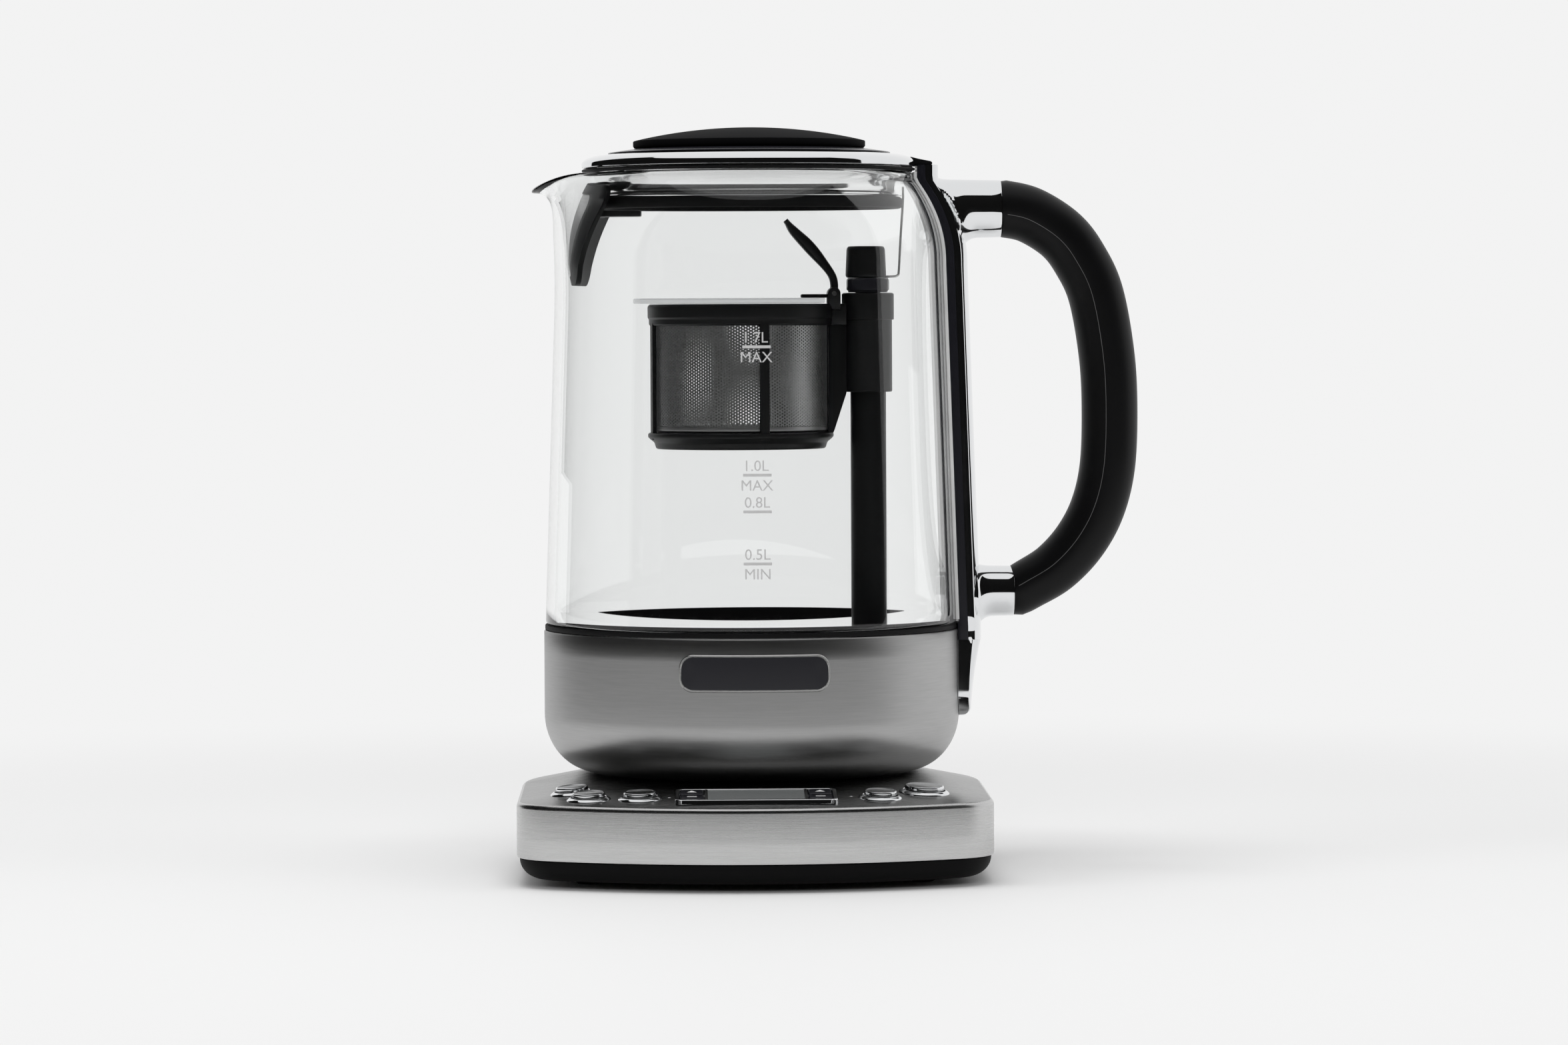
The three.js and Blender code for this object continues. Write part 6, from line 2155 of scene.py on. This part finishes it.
    def lever(self) -> None:
        """The bent black lever: a knuckle, a pad on the lid, and a spoon-shaped arm."""
        pad = self.rim_top + 0.3 + self.lid_thick + 0.1 - self.hinge_z
        knuckle = turned([(1.2, -5.1), (2.3, -5.1), (2.3, 5.1), (1.2, 5.1)], 0.3, 40).placed(LAID)
        foot = plate(softened([(-12, -3.6), (-0.5, -3.6), (-0.5, 3.6), (-12, 3.6)], 1.6), pad,
                     pad + 1.3)
        route = smooth_curve([(0.1, 0, 0.4), (0.2, 0, 3.6), (-0.8, 0, 7.0), (-4.3, 0, 11.8),
                              (-9.3, 0, 17.4), (-14.6, 0, 22.6), (-17.4, 0, 26.2)], 48)
        share = np.linspace(0, 1, len(route))
        swell = np.sin(math.pi * np.clip((share - 0.2) / 0.8, 0, 1)) ** 2
        thick = 1.45 + 0.7 * swell - 0.5 * eased((share - 0.85) / 0.15)
        wide = 3.3 + 0.9 * eased((share - 0.35) / 0.4) - 1.6 * eased((share - 0.93) / 0.07)
        round_point = circle(28)
        section = np.sign(round_point) * np.abs(round_point) ** 0.55
        arm = swept(route, section, thick, wide)
        form = total([knuckle, foot, arm]).moved(x=self.hinge_x, z=self.hinge_z)
        make("infuser_lever", form, BLACK, Body.INFUSER_LID, ["lid_lever"], 40)


# Spout filter and lid


@dataclass
class SpoutFilter:
    """The strainer behind the spout with its black frame and clip tab."""

    foot: float = 211.0
    top: float = 246.0
    half_angle: float = 0.6
    window_angle: float = 0.39
    border: float = 3.4
    clearance: float = 4.5
    tuck: float = 1.6
    tuck_height: float = 7.0
    hole_pitch: float = 1.15
    hole: float = 0.62
    net_thick: float = 0.3
    datum: float = 62.0
    taper: float = 0.4
    rail_height: float = 236.6
    tab_reach: tuple[float, float] = (55.7, 39.3)
    tab_half: float = 6.0
    tab_span: tuple[float, float] = (235.5, 237.7)

    def radius(self, height: np.ndarray) -> np.ndarray:
        """Radius of its outer face at a height."""
        drawn = self.tuck * np.maximum(1 - (height - self.foot) / self.tuck_height, 0)
        return GLASS_SHAPE.radius(height) - self.clearance - drawn

    def curved(self, flat: Form, mid: float) -> Form:
        """Lays a flat form on the frame's surface; its Z is how far it stands out."""
        def law(points: np.ndarray) -> np.ndarray:
            z = points[:, 1] + mid
            share = np.clip((z - self.foot) / (self.top - self.foot), 0, 1)
            angle = math.pi + points[:, 0] / self.datum * (1 - self.taper * (1 - share) ** 1.3)
            out = self.radius(z) + points[:, 2]
            return np.column_stack([out * np.cos(angle), out * np.sin(angle), z])

        return flat.bent(law)

    def build(self) -> None:
        """Makes the frame with its tab, and the net."""
        tall, mid = self.top - self.foot, (self.top + self.foot) / 2
        wide, gap = 2 * self.half_angle * self.datum, 2 * self.window_angle * self.datum
        clear = tall - 2 * self.border

        def fine(width: float, height: float, corner_radius: float) -> np.ndarray:
            outline = round_rect(width, height, corner_radius)
            return np.array(divided(outline, lambda length: 16 if length > 3 else 1))

        outer, inner = fine(wide, tall, 9.0), fine(gap, clear, 6.0)
        steps = ((0, -1.6), (0, -0.3), (0.03, 0), (0.35, 0), (0.7, 0), (0.94, 0), (1, -0.3),
                 (1, -1.6), (0.7, -1.6), (0.35, -1.6))
        border = loft([at_height(outer + (inner - outer) * share, depth) for share, depth in steps],
                      closed=True)
        rail = slab(fine(gap + 12, 2.2, 0.5), -3.6, -1.2).moved(y=self.rail_height - mid)
        (far, near), half = self.tab_reach, self.tab_half
        tab = plate(softened([(-far, -half), (-near, -half), (-near, half), (-far, half)], 1.6,
                             True, 6), *self.tab_span)
        form = total([self.curved(border, mid), self.curved(rail, mid), tab])
        make("spout_filter_frame", form, BLACK, Body.JUG, ["filter_frame"])
        flat = perforated(gap + 3.0, clear + 1.6, self.hole_pitch, self.hole, NET_STEEL)
        piece = mesh_of("spout_filter_net", self.curved(flat.moved(z=-0.5), mid), NET_STEEL, 60)
        put(thickened(piece, self.net_thick), Body.JUG, ["filter_mesh"])


@dataclass
class JugLid:
    """The lid: a chrome ring round a black disc and grip, on a steel skirt with a seal."""

    foot: float = 252.1
    ring_radius: float = 61.0
    ring_inner: float = 46.0
    ring_rise: float = 4.9
    disc_radius: float = 51.3
    knob_radius: float = 42.2
    knob_top: float = 268.3
    skirt_radius: float = 55.6
    skirt_foot: float = 242.3
    seal_foot: float = 238.0
    keyway: tuple[float, float, float] = (56.8, 9.0, 11.1)
    keyway_span: tuple[float, float] = (245.0, 265.0)

    def build(self) -> None:
        """Makes every piece of the lid."""
        deck = self.foot + 1.4
        gasket = [(55.9, self.foot), (60.5, self.foot), (61.0, self.foot + 0.6), (60.5, deck - 0.3),
                  (55.9, deck - 0.3)]
        self.keyed("lid_edge_gasket", turned(gasket, 0.2, FINE_SIDES), RUBBER, "lid_gasket")
        reach, top = self.ring_radius, deck + self.ring_rise
        ring = [(self.ring_inner, deck), (reach - 0.4, deck), (reach, deck + 0.4),
                (reach, deck + 1.5)]
        ring += [(reach - 9.7 * (1 - math.cos(a)), deck + 1.5 + (self.ring_rise - 1.5)
                  * math.sin(a)) for a in np.linspace(0.12, math.pi / 2, 22)]
        ring += [(self.disc_radius - 0.5, top - 0.5), (self.ring_inner, top - 0.5)]
        self.keyed("lid_chrome_ring", revolve(ring, FINE_SIDES), CHROME, "lid_ring")
        self.disc(deck, top)
        self.knob(top)
        self.skirt(deck)
        low = self.seal_foot
        seal = [(52.5, low), (55.0, low), (55.9, low + 1.3), (55.9, low + 2.7), (55.0, low + 4),
                (52.5, low + 4)]
        make("lid_neck_seal", turned(seal, 0.6, FINE_SIDES), RUBBER, Body.LID, ["lid_seal"])

    def keyed(self, name: str, form: Form, finish: Finish, node: str) -> None:
        """Makes a ring with the notch that the handle's cap stands in."""
        start, depth, half = self.keyway
        notch = slab([(start, -half), (start + depth, -half), (start + depth, half),
                      (start, half)], *self.keyway_span)
        put(combined(mesh_of(name, form, finish, 40), notch, "DIFFERENCE"), Body.LID,
            [node])

    def disc(self, deck: float, top: float) -> None:
        """The black disc inside the chrome ring."""
        foot, rim, hub, reach = top + 0.3, top + 1.9, self.ring_inner - 0.3, self.disc_radius
        profile = [(0, deck), (hub, deck), (hub, foot), (reach, foot), (reach, foot + 0.4),
                   (self.knob_radius + 1.2, rim), (0, rim)]
        make("lid_black_disc", turned(profile, 0.4, FINE_SIDES, False), GLOSS_BLACK, Body.LID,
             ["lid_disc"])

    def knob(self, top: float) -> None:
        """The low grip, domed."""
        foot, edge, reach = top + 2.2, top + 4.9, self.knob_radius
        profile = [(0, foot), (reach - 1.2, foot), (reach - 0.4, foot + 0.3), (reach, foot + 0.9),
                   (reach, foot + 2.4), (reach - 0.1, edge)]
        for share in np.linspace(0.985, 0, 30):
            fall = 1 - share**2
            profile.append((reach * share, edge + (self.knob_top - edge)
                            * (0.05 * math.sqrt(fall) + 0.95 * fall)))
        make("lid_grip_disc", revolve(profile, FINE_SIDES, False), LID_BLACK, Body.LID,
             ["lid_knob"], 50)

    def skirt(self, deck: float) -> None:
        """The steel cup under the lid."""
        top, wall, reach, foot = deck - 0.3, 0.9, self.skirt_radius, self.skirt_foot
        waist = [(reach - 0.2 - 2.3 * math.sin(math.pi * share**0.5) ** 1.2,
                  foot + 0.2 + (top - foot - 0.6) * share) for share in np.linspace(0, 1, 15)]
        inside = [(r - wall, min(z, top - wall)) for r, z in waist]
        profile = [(0, top - wall)] + inside[::-1] + [(reach - wall / 2, foot)] + waist
        profile += [(reach - 0.4, top), (0, top)]
        make("lid_steel_skirt", revolve(profile, FINE_SIDES, False), SKIRT_STEEL, Body.LID,
             ["lid_skirt"], 50)


def main() -> None:
    """Builds every piece and the studio."""
    logging.basicConfig(level=logging.INFO, format="%(message)s")
    for assembly in (PowerBase(), Jug(), Handle(), Post(), Infuser(), SpoutFilter(), JugLid(),
                     Studio()):
        log.info("Building %s", type(assembly).__name__)
        assembly.build()


if __name__ == "__main__":
    main()
